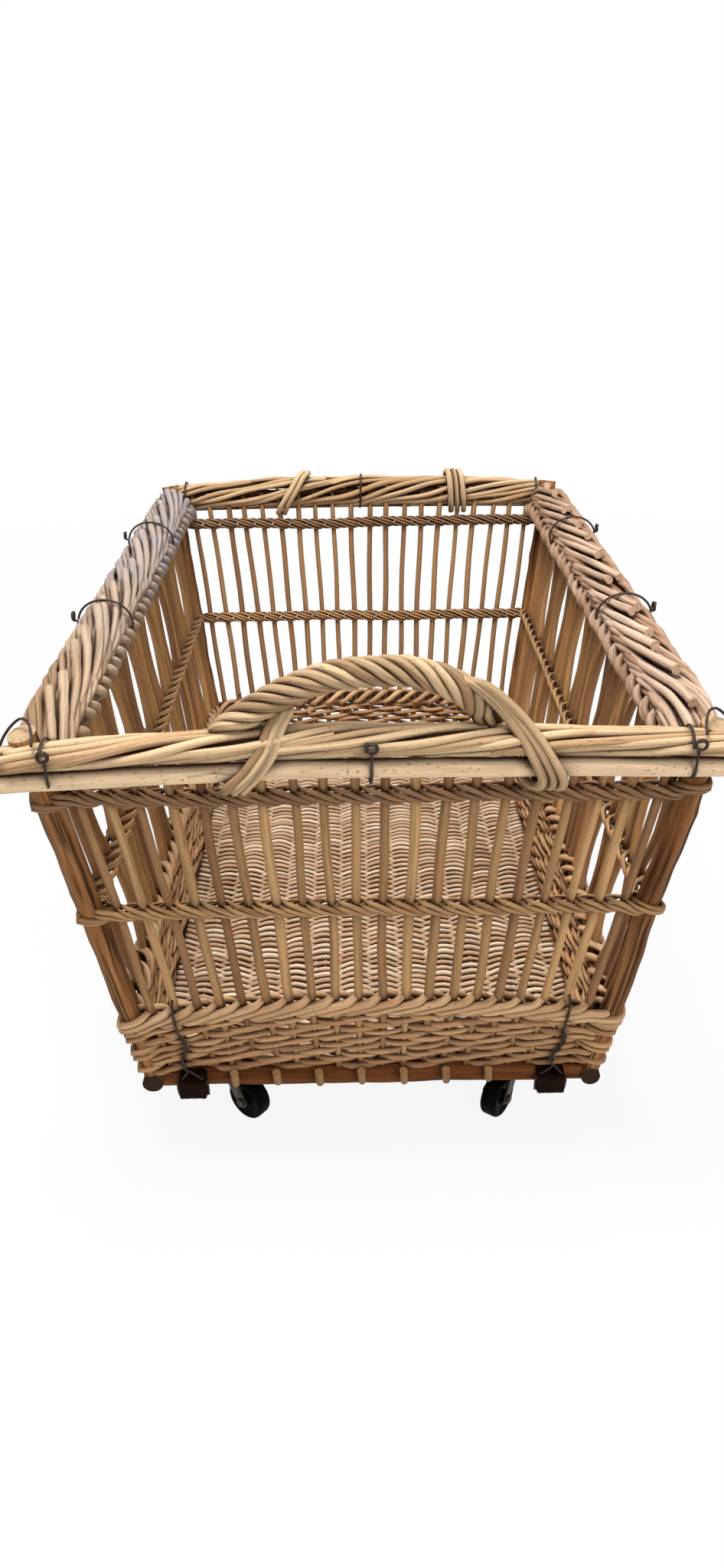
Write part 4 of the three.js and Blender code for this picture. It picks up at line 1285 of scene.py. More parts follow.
    def add_knobs(self) -> None:
        """Adds the knobs of the bent stakes below the inner edge, one at each stake."""
        rng = self.bundle.rng
        count = len(self.knob_out)
        spacing = 2 * self.half_length / self.wall.stakes
        for knob in range(1, self.wall.stakes):
            place = -self.half_length + knob * spacing + rng.normal(0.0, self.knob_shift)
            along = place + np.linspace(-self.knob_half, self.knob_half, count)
            across = -self.half_width - np.array(self.knob_out)
            height = np.linspace(*self.knob_heights, count) + rng.normal(0.0, self.knob_shift)
            size = self.knob_radius * rng.uniform(0.9, 1.1)
            tone = rng.uniform(*self.knob_tones)
            self.bundle.add(self.frame(along, across, height), size, tone, grime=0.05)

    def add_core(self) -> None:
        """Fills the inside of the plait with straight rods."""
        half = self.half_length - self.overhang
        along = np.linspace(-half, half, self.core_samples)
        for across, height in self.core_low + self.core_high:
            # Painted shade: the core rods are dark, as they show only in the shade between the outer rods.
            self.bundle.add(self.frame(along, across, height), self.core_radius, tone=0.2, grime=0.8)


@dataclass
class EndRim:
    """An end rim: a smooth pole outside the posts and a long-twisted bundle of rods on it."""

    wall: Wall
    pole_finish: Material
    rod_finish: Material
    seed: int
    rods: int
    spread_out: float
    spread_up: float
    shift_out: float
    level_shift: float
    half_length: float
    end_thinning: float
    end_drops: Span = (0.0, 0.0)
    bow: float = 0.003
    pole_radius: float = 0.0087
    pole_sink: float = 0.0004
    rod_radius: float = 0.0038
    twist_length: float = 0.55
    tip_lap: float = 0.045
    lap_lift: float = 0.16
    lap_sink: float = 0.5
    lap_turn: float = 0.25
    lap_thinning: float = 0.45
    girths: Span = (0.88, 1.12)
    taper: Span = (1.06, 0.92)
    samples: int = 80
    pole_samples: int = 60
    end_spread: float = 0.02
    core_radius: float = 0.0052
    core_samples: int = 20

    def build(self) -> None:
        """Makes the pole and the bundle."""
        word = self.wall.side.word
        rng = np.random.default_rng(self.seed)
        pole_low, pole_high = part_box(f"{word}_rim_pole")
        rods_low, rods_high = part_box(f"{word}_rim_rods")
        half = min(pole_high.x, self.half_length)
        along = np.linspace(-half, half, self.pole_samples)
        bow = self.bow * (1.0 - (along / half) ** 2) + 0.0006 * slow_noise(rng, self.pole_samples, 3.0)
        level = (pole_low.z + pole_high.z) / 2
        depth = abs((pole_low.y + pole_high.y) / 2 - self.wall.middle)
        pole = RodBundle(f"{word}_pole", sides=20, rng=rng, lumps=0.02)
        level = level + bow - self.droop(along) - self.pole_sink
        pole.add(self.wall.place(along, depth + 0.3 * bow, level), self.pole_radius, tone=0.85)
        settle(pole.build(self.pole_finish), [f"{word}_rim_pole"])
        self.depth = abs((rods_low.y + rods_high.y) / 2 - self.wall.middle) + self.shift_out
        self.level = (rods_low.z + rods_high.z) / 2 + self.level_shift
        self.bundle = RodBundle(f"{word}_bundle", sides=10, rng=rng)
        for rod in range(self.rods):
            self.add_rod(rod)
        self.add_core()
        settle(self.bundle.build(self.rod_finish), [f"{word}_rim_rods"])

    def droop(self, along: Array) -> Array:
        """How far the rim sinks towards its two ends."""
        share = np.abs(along) / self.half_length
        return np.where(along < 0, self.end_drops[0], self.end_drops[1]) * share**1.6

    def add_rod(self, rod: int) -> None:
        """Adds one twisted rod. Every second one ends on the way, and a fresh one takes over from below.

        Args:
            rod: The rod's number.
        """
        rng = self.bundle.rng
        left = -self.half_length + rng.uniform(0.0, self.end_spread)
        ends = (left, self.half_length - rng.uniform(0.0, self.end_spread))
        along = np.linspace(*ends, self.samples)
        angle = TURN * (rod / self.rods + along / self.twist_length)
        angle = angle + 0.2 * slow_noise(rng, self.samples, 2.5)
        spread = 1.0 + 0.07 * slow_noise(rng, self.samples, 3.0)
        size = self.rod_radius * rng.uniform(*self.girths) * np.linspace(*self.taper, self.samples)
        if rod % 2:
            self.lay(along, angle, spread, size)
            return
        stop = rng.uniform(*ends) * 0.75
        fresh = np.clip((along - stop) / self.tip_lap, -1.0, 1.0)
        over = np.clip(fresh, 0.0, 1.0)
        first = along < stop + self.tip_lap
        lifted = spread + self.lap_lift * over
        thinned = size * (1.0 - self.lap_thinning * over)
        self.lay(along[first], angle[first], lifted[first], thinned[first])
        second = along > stop - self.tip_lap
        sunk = spread - self.lap_sink * np.clip(-fresh, 0.0, 1.0)
        self.lay(along[second], angle[second] - self.lap_turn, sunk[second], size[second])

    def lay(self, along: Array, angle: Array, spread: Array, size: Array) -> None:
        """Lays a stretch of a rod round the bundle's middle.

        Args:
            along: Places along the rim.
            angle: The rod's turn round the bundle.
            spread: How far out of the bundle it lies.
            size: The rod's radius.
        """
        if len(along) < FEWEST_POINTS:
            return
        share = (along / self.half_length) ** 2
        thinning = 1.0 - self.end_thinning * share
        depth = self.depth + self.spread_out * spread * np.cos(angle)
        sink = self.spread_up * (1.0 - thinning)
        level = self.level + self.spread_up * thinning * spread * np.sin(angle) - sink
        level = level + self.bow * (1.0 - share) - self.droop(along)
        self.bundle.add(self.wall.place(along, depth, level), size)

    def add_core(self) -> None:
        """Fills the bundle's middle with straight rods."""
        half = self.half_length - self.end_spread
        along = np.linspace(-half, half, self.core_samples)
        reach = max(0.0, self.spread_up - 0.008)
        share = (along / self.half_length) ** 2
        for rise in (-self.spread_up, -reach, 0.0, reach):
            sink = self.end_thinning * share * (self.spread_up + rise)
            level = self.level + rise + self.bow * (1.0 - share) - sink - self.droop(along)
            # Painted shade: the core rods are dark, as they show only in the slits between the twisted rods.
            self.bundle.add(self.wall.place(along, self.depth, level), self.core_radius, tone=0.1, grime=0.85)


@dataclass(frozen=True)
class Wrap:
    """Rods that leave a handle side by side and bind it to the rim.

    The route gives places along the rim, out of its middle and above it. The rods lie close at its start and
    fan out towards its end.
    """

    route: Route
    close: float
    wide: float
    rods: int = 3


@dataclass
class RopeHandle:
    """A rope-twist handle: strands wound along an arch, and wraps that bind its feet to the end rim."""

    wall: Wall
    finish: Material
    name: str
    seed: int
    axis: Route
    facing: Span
    wraps: tuple[Wrap, ...]
    strands: int = 6
    strand_radius: float = 0.0044
    wrap_radius: float = 0.0044
    lay_radius: float = 0.0096
    turns: float = 3.4
    twist_end: float = 0.88
    start_turn: float = 0.06
    end_lay: float = 0.72
    end_share: float = 0.16
    core_radius: float = 0.0045
    girths: Span = (0.94, 1.06)
    wrap_girths: Span = (0.92, 1.06)
    wrap_shift: float = 0.0004
    step: float = 0.004

    def build(self) -> None:
        """Makes all strands of the handle as one piece."""
        word = self.wall.side.word
        low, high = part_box(f"{word}_rim_rods")
        self.depth = abs((low.y + high.y) / 2 - self.wall.middle)
        self.level = (low.z + high.z) / 2
        rng = np.random.default_rng(self.seed)
        self.bundle = RodBundle(self.name, sides=10, rng=rng)
        middle = through(self.frame(self.axis), self.step)
        for strand in range(self.strands):
            self.bundle.add(self.wind(middle, strand), self.strand_radius * rng.uniform(*self.girths))
        # Painted shade: the core is dark, as it shows only in the grooves between the strands.
        self.bundle.add(middle, self.core_radius, tone=0.2, grime=0.6)
        for wrap in self.wraps:
            self.add_wrap(wrap)
        settle(self.bundle.build(self.finish), [f"{word}_handle"])

    def frame(self, points: Route | Array) -> Array:
        """Places points by their distance along the rim, out of its middle and above it."""
        along, out, up = np.asarray(points, float).T
        return self.wall.place(along, self.depth + out, self.level + up)

    def wind(self, middle: Array, number: int) -> Array:
        """Winds one strand along the rope's middle line.

        Args:
            middle: The rope's middle line.
            number: The strand's number.

        Returns:
            The strand's middle line.
        """
        share = np.linspace(0.0, 1.0, len(middle))
        facing = self.facing[0] * self.wall.outward + self.facing[1] * UP
        away = unit(np.cross(facing, np.gradient(middle, axis=0)))
        wound = self.turns * np.minimum(share, self.twist_end)
        angle = TURN * (number / self.strands + self.start_turn + wound)
        ends = np.clip(np.minimum(share, 1.0 - share) / self.end_share, 0.0, 1.0)
        swell = self.lay_radius * (self.end_lay + (1.0 - self.end_lay) * ends)
        lay = np.cos(angle)[:, None] * away + np.sin(angle)[:, None] * facing
        return middle + swell[:, None] * lay

    def add_wrap(self, wrap: Wrap) -> None:
        """Adds the rods of one wrap side by side.

        Args:
            wrap: The wrap's route and spacing.
        """
        route = np.array(wrap.route)
        fan = np.linspace(wrap.close, wrap.wide, len(route))
        for rod in range(wrap.rods):
            order = rod - (wrap.rods - 1) / 2
            line = route.copy()
            line[:, 0] += order * fan
            line[:, 1] += self.bundle.rng.normal(0.0, self.wrap_shift)
            path = through(self.frame(line), self.step)
            self.bundle.add(path, self.wrap_radius * self.bundle.rng.uniform(*self.wrap_girths))


def hanging_arch(left: float, right: float, foot: Span, rise: float, lean: float) -> Route:
    """Draws a round arch that hangs out of a rim.

    Args:
        left: Where it starts along the rim.
        right: Where it ends.
        foot: How far out of the rim's middle and above it the feet are.
        rise: How far the arch stands out.
        lean: How far it hangs below level, in radians.

    Returns:
        The arch's middle line.
    """
    sweep = np.linspace(math.pi, 0.0, 13)
    along = (left + right) / 2 + (right - left) / 2 * np.cos(sweep)
    out = foot[0] + rise * math.cos(lean) * np.sin(sweep)
    up = foot[1] - rise * math.sin(lean) * np.sin(sweep)
    return tuple(tuple(point) for point in np.column_stack((along, out, up)).tolist())


@dataclass
class WireTies:
    """Iron wire that ties the rims and the runners: loops with a curled eye."""

    basket: Basket
    finish: Material
    rims: dict[Side, tuple[Row, ...]]
    end_sinks: dict[Side, Span]
    radius: float = 0.0013
    eye_radius: float = 0.0052
    runner_half: float = 0.0162
    wander: float = 0.0042
    skin: float = 0.0096
    corner_from: float = 0.2
    sink_from: float = 0.512
    sink_span: float = 0.030
    eye_sink: float = 0.57
    eye_out: float = 0.0030
    eye_lift: float = 0.002
    eye_shrink: float = 0.75
    slide: Span = (-0.003, 0.002)
    runner_face: float = 0.0165
    runner_lean: float = 0.010
    twist_turns: float = 2.25
    twist_rise: Span = (0.010, 0.062)
    twist_leans: Span = (0.25, 0.8)
    twist_foot: float = 0.0138
    twist_reach: Span = (0.0017, 0.0016)
    twist_samples: int = 30
    corner_route: Route = (
        (0.286, 0.486, 0.5395),
        (0.288, 0.474, 0.5450),
        (0.294, 0.460, 0.5485),
        (0.303, 0.452, 0.5465),
        (0.314, 0.452, 0.5370),
        (0.322, 0.456, 0.5240),
        (0.325, 0.462, 0.5060),
    )
    seed: int = 71

    def build(self) -> None:
        """Makes every tie as its own piece, in the box of its solid."""
        for side in Side:
            count = 3 if side.is_end else 2
            for number in range(1, count + 1):
                self.rim_tie(self.basket.walls[side.value], f"{side.word}_rim_tie_{number}")
        for side in (Side.FRONT, Side.BACK):
            for number in (1, 2):
                self.runner_tie(self.basket.walls[side.value], f"{side.word}_runner_tie_{number}")

    def finish_tie(self, node: str, paths: Sequence[Array]) -> None:
        """Sweeps the wires of a tie.

        Args:
            node: The tie's solid, whose name the piece takes on.
            paths: The wires' routes.
        """
        bundle = RodBundle(f"{node}_wire", sides=6, rng=np.random.default_rng(self.seed), lumps=0.02)
        for path in paths:
            bundle.add(path, self.radius, tone=0.5)
        settle(bundle.build(self.finish), [node])

    def hull(self, rounds: Array, angle: Array) -> Array:
        """Draws a tight loop round ovals.

        Args:
            rounds: For each oval its middle, out and up, and its half width and half height.
            angle: Directions in which the loop's points lie.

        Returns:
            The loop's points, out and up.
        """
        towards = np.column_stack((np.cos(angle), np.sin(angle)))
        reaches = np.sqrt((towards[:, None, :] ** 2 * rounds[None, :, 2:] ** 2).sum(axis=2))
        furthest = np.argmax(towards @ rounds[:, :2].T + reaches, axis=1)
        best = rounds[furthest]
        reach = reaches[np.arange(len(angle)), furthest]
        return best[:, :2] + towards * best[:, 2:] ** 2 / reach[:, None]

    def place_along(self, wall: Wall, node: str) -> float:
        """Where the middle of a tie's solid lies along its wall."""
        return ((np.array(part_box(node)) - np.array((0.0, wall.middle, 0.0))) @ wall.along).mean()

    def rim_tie(self, wall: Wall, node: str) -> None:
        """Winds a wire tightly round a rim and curls its ends into an eye on the outer face.

        Args:
            wall: The rim's wall.
            node: The tie's solid.
        """
        along = self.place_along(wall, node)
        loop = self.hull(np.array(self.rims[wall.side]), np.radians(np.arange(10.0, 371.0, 10.0)))
        is_corner = wall.side in self.end_sinks and abs(along) > self.corner_from
        sink = self.end_sinks[wall.side][int(along > 0)] if is_corner else 0.0
        loop[:, 1] -= sink * np.clip((loop[:, 1] - self.sink_from) / self.sink_span, 0.0, 1.0)
        ring = np.column_stack((along + np.linspace(*self.slide, len(loop)), loop))
        curl = np.radians(np.arange(0.0, 571.0, 30.0))
        shrink = np.linspace(1.0, self.eye_shrink, len(curl)) * self.eye_radius
        middle = ring[-1] + np.array((0.0, self.eye_out, self.eye_radius))
        lift = np.linspace(0.0, self.eye_lift, len(curl))
        eye = middle + np.column_stack((shrink * np.sin(curl), lift, -shrink * np.cos(curl)))
        routes = [np.vstack((ring, eye))]
        if wall.side is Side.FRONT and is_corner:
            corner = np.array(self.corner_route) * np.array((np.sign(along), 1.0, 1.0))
            corner[:, 2] -= sink * np.interp(np.arange(len(corner)), (0, 3), (self.eye_sink, 0.0))
            routes.append(corner)
        self.finish_tie(node, [wall.place(*through(route, 0.0025).T) for route in routes])

    def runner_tie(self, wall: Wall, node: str) -> None:
        """Loops a wire round a runner's end, twists it up the band and hooks it over the border.

        Args:
            wall: The end wall above the runner.
            node: The tie's solid.
        """
        along = self.place_along(wall, node)
        lean = self.runner_lean * np.sign(along)
        half = self.runner_half
        face = self.runner_face
        count = self.twist_samples
        turns = np.linspace(0.0, self.twist_turns * TURN, count)
        wander = self.wander * np.sin(np.linspace(0.0, TURN, count))
        leaning = lean * np.linspace(*self.twist_leans, count)
        out = np.linspace(self.twist_foot, self.skin + 0.0006, count)
        ring = []
        for side in (-1, 1):
            twist = np.column_stack(
                (
                    along + side * self.twist_reach[0] * np.cos(turns) + leaning - wander,
                    np.linspace(*self.twist_rise, count),
                    out + self.twist_reach[1] * side * np.sin(turns),
                )
            )
            stem = [
                (along - side * 0.002, -0.0227, face),
                (along + side * half * 0.88, -0.0226, face + 0.001),
                (along + side * half, -0.0190, face + 0.002),
                (along + side * half, -0.004, face + 0.002),
                (along + side * half * 0.72, 0.002, face + 0.001),
            ]
            ring.append(np.vstack((stem, twist)))
        hook = np.array(
            (
                (along + lean * 0.8, 0.062, self.skin + 0.001),
                (along + lean * 0.95, 0.078, self.skin + 0.003),
                (along + lean * 1.0, 0.092, 0.0150),
                (along + lean * 1.05, 0.104, 0.0140),
                (along + lean * 1.1, 0.112, 0.006),
                (along + lean * 1.1, 0.108, -0.008),
            )
        )
        self.finish_tie(node, [wall.point(*through(route, 0.003).T) for route in (*ring, hook)])


@dataclass
class CornerPosts:
    """The four leaning corner posts, sticks with worn bark and sawn heads."""

    basket: Basket
    finish: Material
    foot_radius: float = 0.0108
    head_radius: float = 0.0128
    head_level: float = 0.536
    sway: float = 0.0012
    knot_rises: Span = (0.3, 0.8)
    knot_swell: float = 0.08
    knot_length: float = 0.02
    samples: int = 44
    seed: int = 81

    def build(self) -> None:
        """Makes the four posts."""
        basket = self.basket
        for number, corner in enumerate(CORNERS):
            node = f"{corner}_post"
            low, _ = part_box(node)
            sign_x = -1 if corner.endswith("left") else 1
            sign_y = -1 if corner.startswith("front") else 1
            rise = np.linspace(low.z, self.head_level, self.samples)
            share = (rise - basket.foot) / basket.height
            width = basket.base[0] + (basket.top[0] - basket.base[0]) * share
            length = basket.base[1] + (basket.top[1] - basket.base[1]) * share
            rng = np.random.default_rng(self.seed + number)
            sway = self.sway * slow_noise(rng, self.samples, 1.7)
            depth = basket.middle + sign_y * length / 2 - sway
            path = np.column_stack((sign_x * width / 2 + sway, depth, rise))
            bundle = RodBundle(f"{node}_stick", sides=24, rng=rng, lumps=0.045)
            knot = (share - rng.uniform(*self.knot_rises)) / self.knot_length
            girth = np.linspace(self.foot_radius, self.head_radius, self.samples)
            bundle.add(path, girth * (1.0 + self.knot_swell * np.exp(-(knot**2))), tone=0.5)
            settle(bundle.build(self.finish), [node])


@dataclass
class BaseRails:
    """The round sticks under the foot of the walls."""

    side_finish: Material
    end_finish: Material
    girth: float = 0.985
    sway: float = 0.0008
    samples: int = 40
    seed: int = 91

    def build(self) -> None:
        """Makes the four rails in the boxes of their solids."""
        for number, side in enumerate(Side):
            node = f"{side.word}_base_rail"
            low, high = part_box(node)
            axis = 0 if side.is_end else 1
            middle = np.array((low + high) / 2)
            path = np.tile(middle, (self.samples, 1))
            path[:, axis] = np.linspace(low[axis], high[axis], self.samples)
            rng = np.random.default_rng(self.seed + number)
            path[:, 2] += self.sway * slow_noise(rng, self.samples, 2.0)
            bundle = RodBundle(f"{node}_stick", sides=22, rng=rng, lumps=0.03)
            bundle.add(path, (high.z - low.z) / 2 * self.girth, tone=0.5)
            finish, slot = (self.end_finish, Slot.RAIL) if side.is_end else (self.side_finish, Slot.POST)
            settle(bundle.build(finish), [node])


def clear_selection() -> None:
    """Deselects every object."""
    bpy.ops.object.select_all(action="DESELECT")


def round_edges(piece: Piece, width: float, segments: int) -> None:
    """Rounds the sharp edges of the active piece.

    Args:
        piece: The piece, in object mode.
        width: How wide the rounding is.
        segments: How many faces it has across.
    """
    bevel = piece.modifiers.new("worn edges", "BEVEL")
    bevel.width = width
    bevel.segments = segments
    bevel.limit_method = "ANGLE"
    bpy.ops.object.modifier_apply(modifier=bevel.name)


def add_bar(name: str, low: Vector, high: Vector, edge: float, cuts: int, wobble: float, seed: int) -> Piece:
    """Models a sawn bar in a box: a cube with worn edges and slightly uneven faces.

    Args:
        name: The piece's name.
        low: The box's lowest corner.
        high: The box's highest corner.
        edge: The width of the worn edges.
        cuts: How often the faces are cut for their unevenness.
        wobble: How uneven the faces are.
        seed: The seed of the unevenness.

    Returns:
        The finished object at the origin.
    """
    clear_selection()
    bpy.ops.mesh.primitive_cube_add(size=1.0, location=(low + high) / 2)
    piece = bpy.context.active_object
    piece.name = name
    piece.scale = high - low
    bpy.ops.object.transform_apply(location=True, rotation=True, scale=True)
    bpy.ops.object.mode_set(mode="EDIT")
    bpy.ops.mesh.select_all(action="SELECT")
    bpy.ops.mesh.subdivide(number_cuts=cuts)
    bpy.ops.object.mode_set(mode="OBJECT")
    round_edges(piece, edge, 3)
    rng = np.random.default_rng(seed)
    for vertex in piece.data.vertices:
        vertex.co += Vector(rng.normal(0.0, wobble, 3))
    bpy.ops.object.shade_smooth_by_angle(angle=SMOOTH_ANGLE)
    return piece


@dataclass
class RunnersAndBoards:
    """The two dark runners under the floor and the boards between them that carry the casters."""

    finish: Material
    board_finish: Material
    edge: float = 0.0022
    cuts: int = 6
    wobble: float = 0.0002
    runner_seed: int = 101
    board_seed: int = 111

    def build(self) -> None:
        """Makes the two runners and the two boards."""
        for number, side in enumerate(("left", "right")):
            self.add(f"{side}_runner", f"{side}_runner_bar", self.finish, self.runner_seed + number)
        for number, end in enumerate(("front", "back")):
            node = f"{end}_caster_board"
            self.add(node, f"{end}_caster_plank", self.board_finish, self.board_seed + number)

    def add(self, node: str, name: str, finish: Material, seed: int) -> None:
        """Makes one bar in the box of its solid.

        Args:
            node: The solid.
            name: The bar's name.
            finish: Its material.
            seed: The seed of its unevenness.
        """
        bar = add_bar(name, *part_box(node), self.edge, self.cuts, self.wobble, seed)
        bar.data.materials.append(finish)
        settle(bar, [node])


def add_drum(radius: float, depth: float, place: Sequence[float], upright: bool, sides: int) -> Piece:
    """Adds a cylinder that stands upright or lies across, along Y.

    Args:
        radius: Its radius.
        depth: Its length.
        place: Its middle.
        upright: Whether its axis is vertical.
        sides: How many sides it has.

    Returns:
        The new object, selected and active.
    """
    turn = 0.0 if upright else math.pi / 2
    bpy.ops.mesh.primitive_cylinder_add(
        vertices=sides, radius=radius, depth=depth, location=place, rotation=(turn, 0.0, 0.0)
    )
    return bpy.context.active_object


def join_pieces(pieces: Sequence[Piece], name: str) -> Piece:
    """Joins pieces into one, with its place in its mesh.

    Args:
        pieces: The pieces.
        name: The new piece's name.

    Returns:
        The joined object at the origin.
    """
    clear_selection()
    for piece in pieces:
        piece.select_set(True)
    bpy.context.view_layer.objects.active = pieces[0]
    bpy.ops.object.join()
    bpy.ops.object.transform_apply(location=True, rotation=True, scale=True)
    pieces[0].name = name
    return pieces[0]


@dataclass
class Caster:
    """One swivel caster: a screwed plate with its ball race, a pressed fork, an axle and a rubber wheel.

    The pieces are modelled about the swivel axis, with the trail along X, and turned as the wheel stands.
    """

    place: str
    joints: dict[str, dict]
    steel: Material
    rubber: Material
    plate_size: Triple = (0.044, 0.050, 0.0025)
    plate_top: float = 0.0697
    screw_inset: float = 0.007
    race_radius: float = 0.015
    crown_radius: float = 0.017
    crown_top: float = 0.0639
    leg_middle: float = 0.0126
    leg_thickness: float = 0.0020
    eye_radius: float = 0.0070
    axle_radius: float = 0.0030
    nut_radius: float = 0.0055
    wheel_radius: float = 0.0250
    wheel_width: float = 0.0200
    hub_radius: float = 0.0090
    hub_stand: float = 0.0012
    screw_radius: float = 0.0035
    rivet_radius: float = 0.0070
    shoulder_radius: float = 0.0085
    tyre_shoulder: float = 0.0042
    side_inset: float = 0.0035
    side_sink: float = 0.0018
    edge: float = 0.0006

    def build(self) -> None:
        """Makes the plate, the fork with its axle, and the wheel."""
        swivel = Vector(self.joints[f"{self.place}_swivel"]["pos_m"])
        axle = Vector(self.joints[f"{self.place}_roll"]["pos_m"])
        self.trail = (axle - swivel).xy.length
        self.axle_level = axle.z
        heading = math.atan2(axle.y - swivel.y, axle.x - swivel.x)
        stand = Matrix.Translation((swivel.x, swivel.y, 0.0))
        turned = stand @ Matrix.Rotation(heading, 4, "Z")
        fork_body = f"{self.place}_fork"
        self.deliver(self.plate(), stand, self.steel, "plate", BASKET)
        self.deliver(self.fork(), turned, self.steel, "fork", fork_body)
        self.deliver(self.axle(), turned, self.steel, "axle", fork_body)
        self.deliver(self.wheel(), turned, self.rubber, "wheel", f"{self.place}_wheel")

    def deliver(
        self, piece: Piece, stand: Matrix, finish: Material, part: str, body: str
    ) -> None:
        """Rounds a piece's edges, puts it in its place and hands it to its body.

        Args:
            piece: The modelled piece.
            stand: Where it stands.
            finish: Its material.
            part: Which of the caster's solids it replaces.
            body: The body that it rides on.
        """
        clear_selection()
        piece.select_set(True)
        bpy.context.view_layer.objects.active = piece
        round_edges(piece, self.edge, 2)
        bpy.ops.object.shade_smooth_by_angle(angle=SMOOTH_ANGLE)
        piece.data.transform(stand)
        piece.data.materials.append(finish)
        settle(piece, [f"caster_{self.place}_{part}"], body)

    def plate(self) -> Piece:
        """Models the plate with its screw heads, ball race and riveted pin."""
        clear_selection()
        middle = self.plate_top - self.plate_size[2] / 2
        bpy.ops.mesh.primitive_cube_add(size=1.0, location=(0.0, 0.0, middle))
        plate = bpy.context.active_object
        plate.scale = self.plate_size
        under = self.plate_top - self.plate_size[2]
        pieces = [plate]
        for side_x in (-1, 1):
            for side_y in (-1, 1):
                x = side_x * (self.plate_size[0] / 2 - self.screw_inset)
                y = side_y * (self.plate_size[1] / 2 - self.screw_inset)
                pieces.append(add_drum(self.screw_radius, 0.002, (x, y, under - 0.0006), True, 14))
        pieces.append(add_drum(self.race_radius, 0.0030, (0.0, 0.0, under - 0.0014), True, 32))
        pieces.append(add_drum(self.rivet_radius, 0.0024, (0.0, 0.0, self.crown_top - 0.0045), True, 20))
        return join_pieces(pieces, f"{self.place}_caster_plate")

    def fork(self) -> Piece:
        """Models the pressed fork: a round crown and two legs that taper to the axle's eyes."""
        clear_selection()
        pieces = [add_drum(self.crown_radius, 0.0030, (0.0, 0.0, self.crown_top - 0.0015), True, 36)]
        for side in (-1, 1):
            y = side * self.leg_middle
            top = (0.0015, y, self.crown_top - 0.0090)
            shoulder = add_drum(self.shoulder_radius, self.leg_thickness, top, False, 20)
            eye = add_drum(self.eye_radius, self.leg_thickness, (self.trail, y, self.axle_level), False, 20)
            leg = join_pieces((shoulder, eye), "leg")
            bpy.ops.object.mode_set(mode="EDIT")
            bpy.ops.mesh.select_all(action="SELECT")
            bpy.ops.mesh.convex_hull()
            bpy.ops.object.mode_set(mode="OBJECT")
            pieces.append(leg)
        return join_pieces(pieces, f"{self.place}_caster_fork")

    def axle(self) -> Piece:
        """Models the axle with a nut at each end."""
        clear_selection()
        reach = self.leg_middle + self.leg_thickness / 2
        pieces = [add_drum(self.axle_radius, 2 * reach, (self.trail, 0.0, self.axle_level), False, 14)]
        for side in (-1, 1):
            place = (self.trail, side * (reach + 0.0016), self.axle_level)
            pieces.append(add_drum(self.nut_radius, 0.0030, place, False, 6))
        return join_pieces(pieces, f"{self.place}_caster_axle")

    def wheel(self) -> Piece:
        """Models the tyre with sunk sides, rounded shoulders and a hub that stands out."""
        clear_selection()
        place = (self.trail, 0.0, self.axle_level)
        tyre = add_drum(self.wheel_radius, self.wheel_width, place, False, 48)
        bpy.ops.object.transform_apply(location=True, rotation=True, scale=True)
        round_edges(tyre, self.tyre_shoulder, 3)
        bpy.ops.object.mode_set(mode="EDIT")
        bpy.ops.mesh.select_mode(type="FACE")
        bpy.ops.mesh.select_all(action="DESELECT")
        bpy.ops.object.mode_set(mode="OBJECT")
        for face in tyre.data.polygons:
            face.select = len(face.vertices) > 4
        bpy.ops.object.mode_set(mode="EDIT")
        bpy.ops.mesh.inset(thickness=self.side_inset, use_individual=True)
        bpy.ops.transform.shrink_fatten(value=-self.side_sink)
        bpy.ops.object.mode_set(mode="OBJECT")
        hub = add_drum(self.hub_radius, self.wheel_width + self.hub_stand, place, False, 28)
        return join_pieces((tyre, hub), f"{self.place}_caster_wheel")


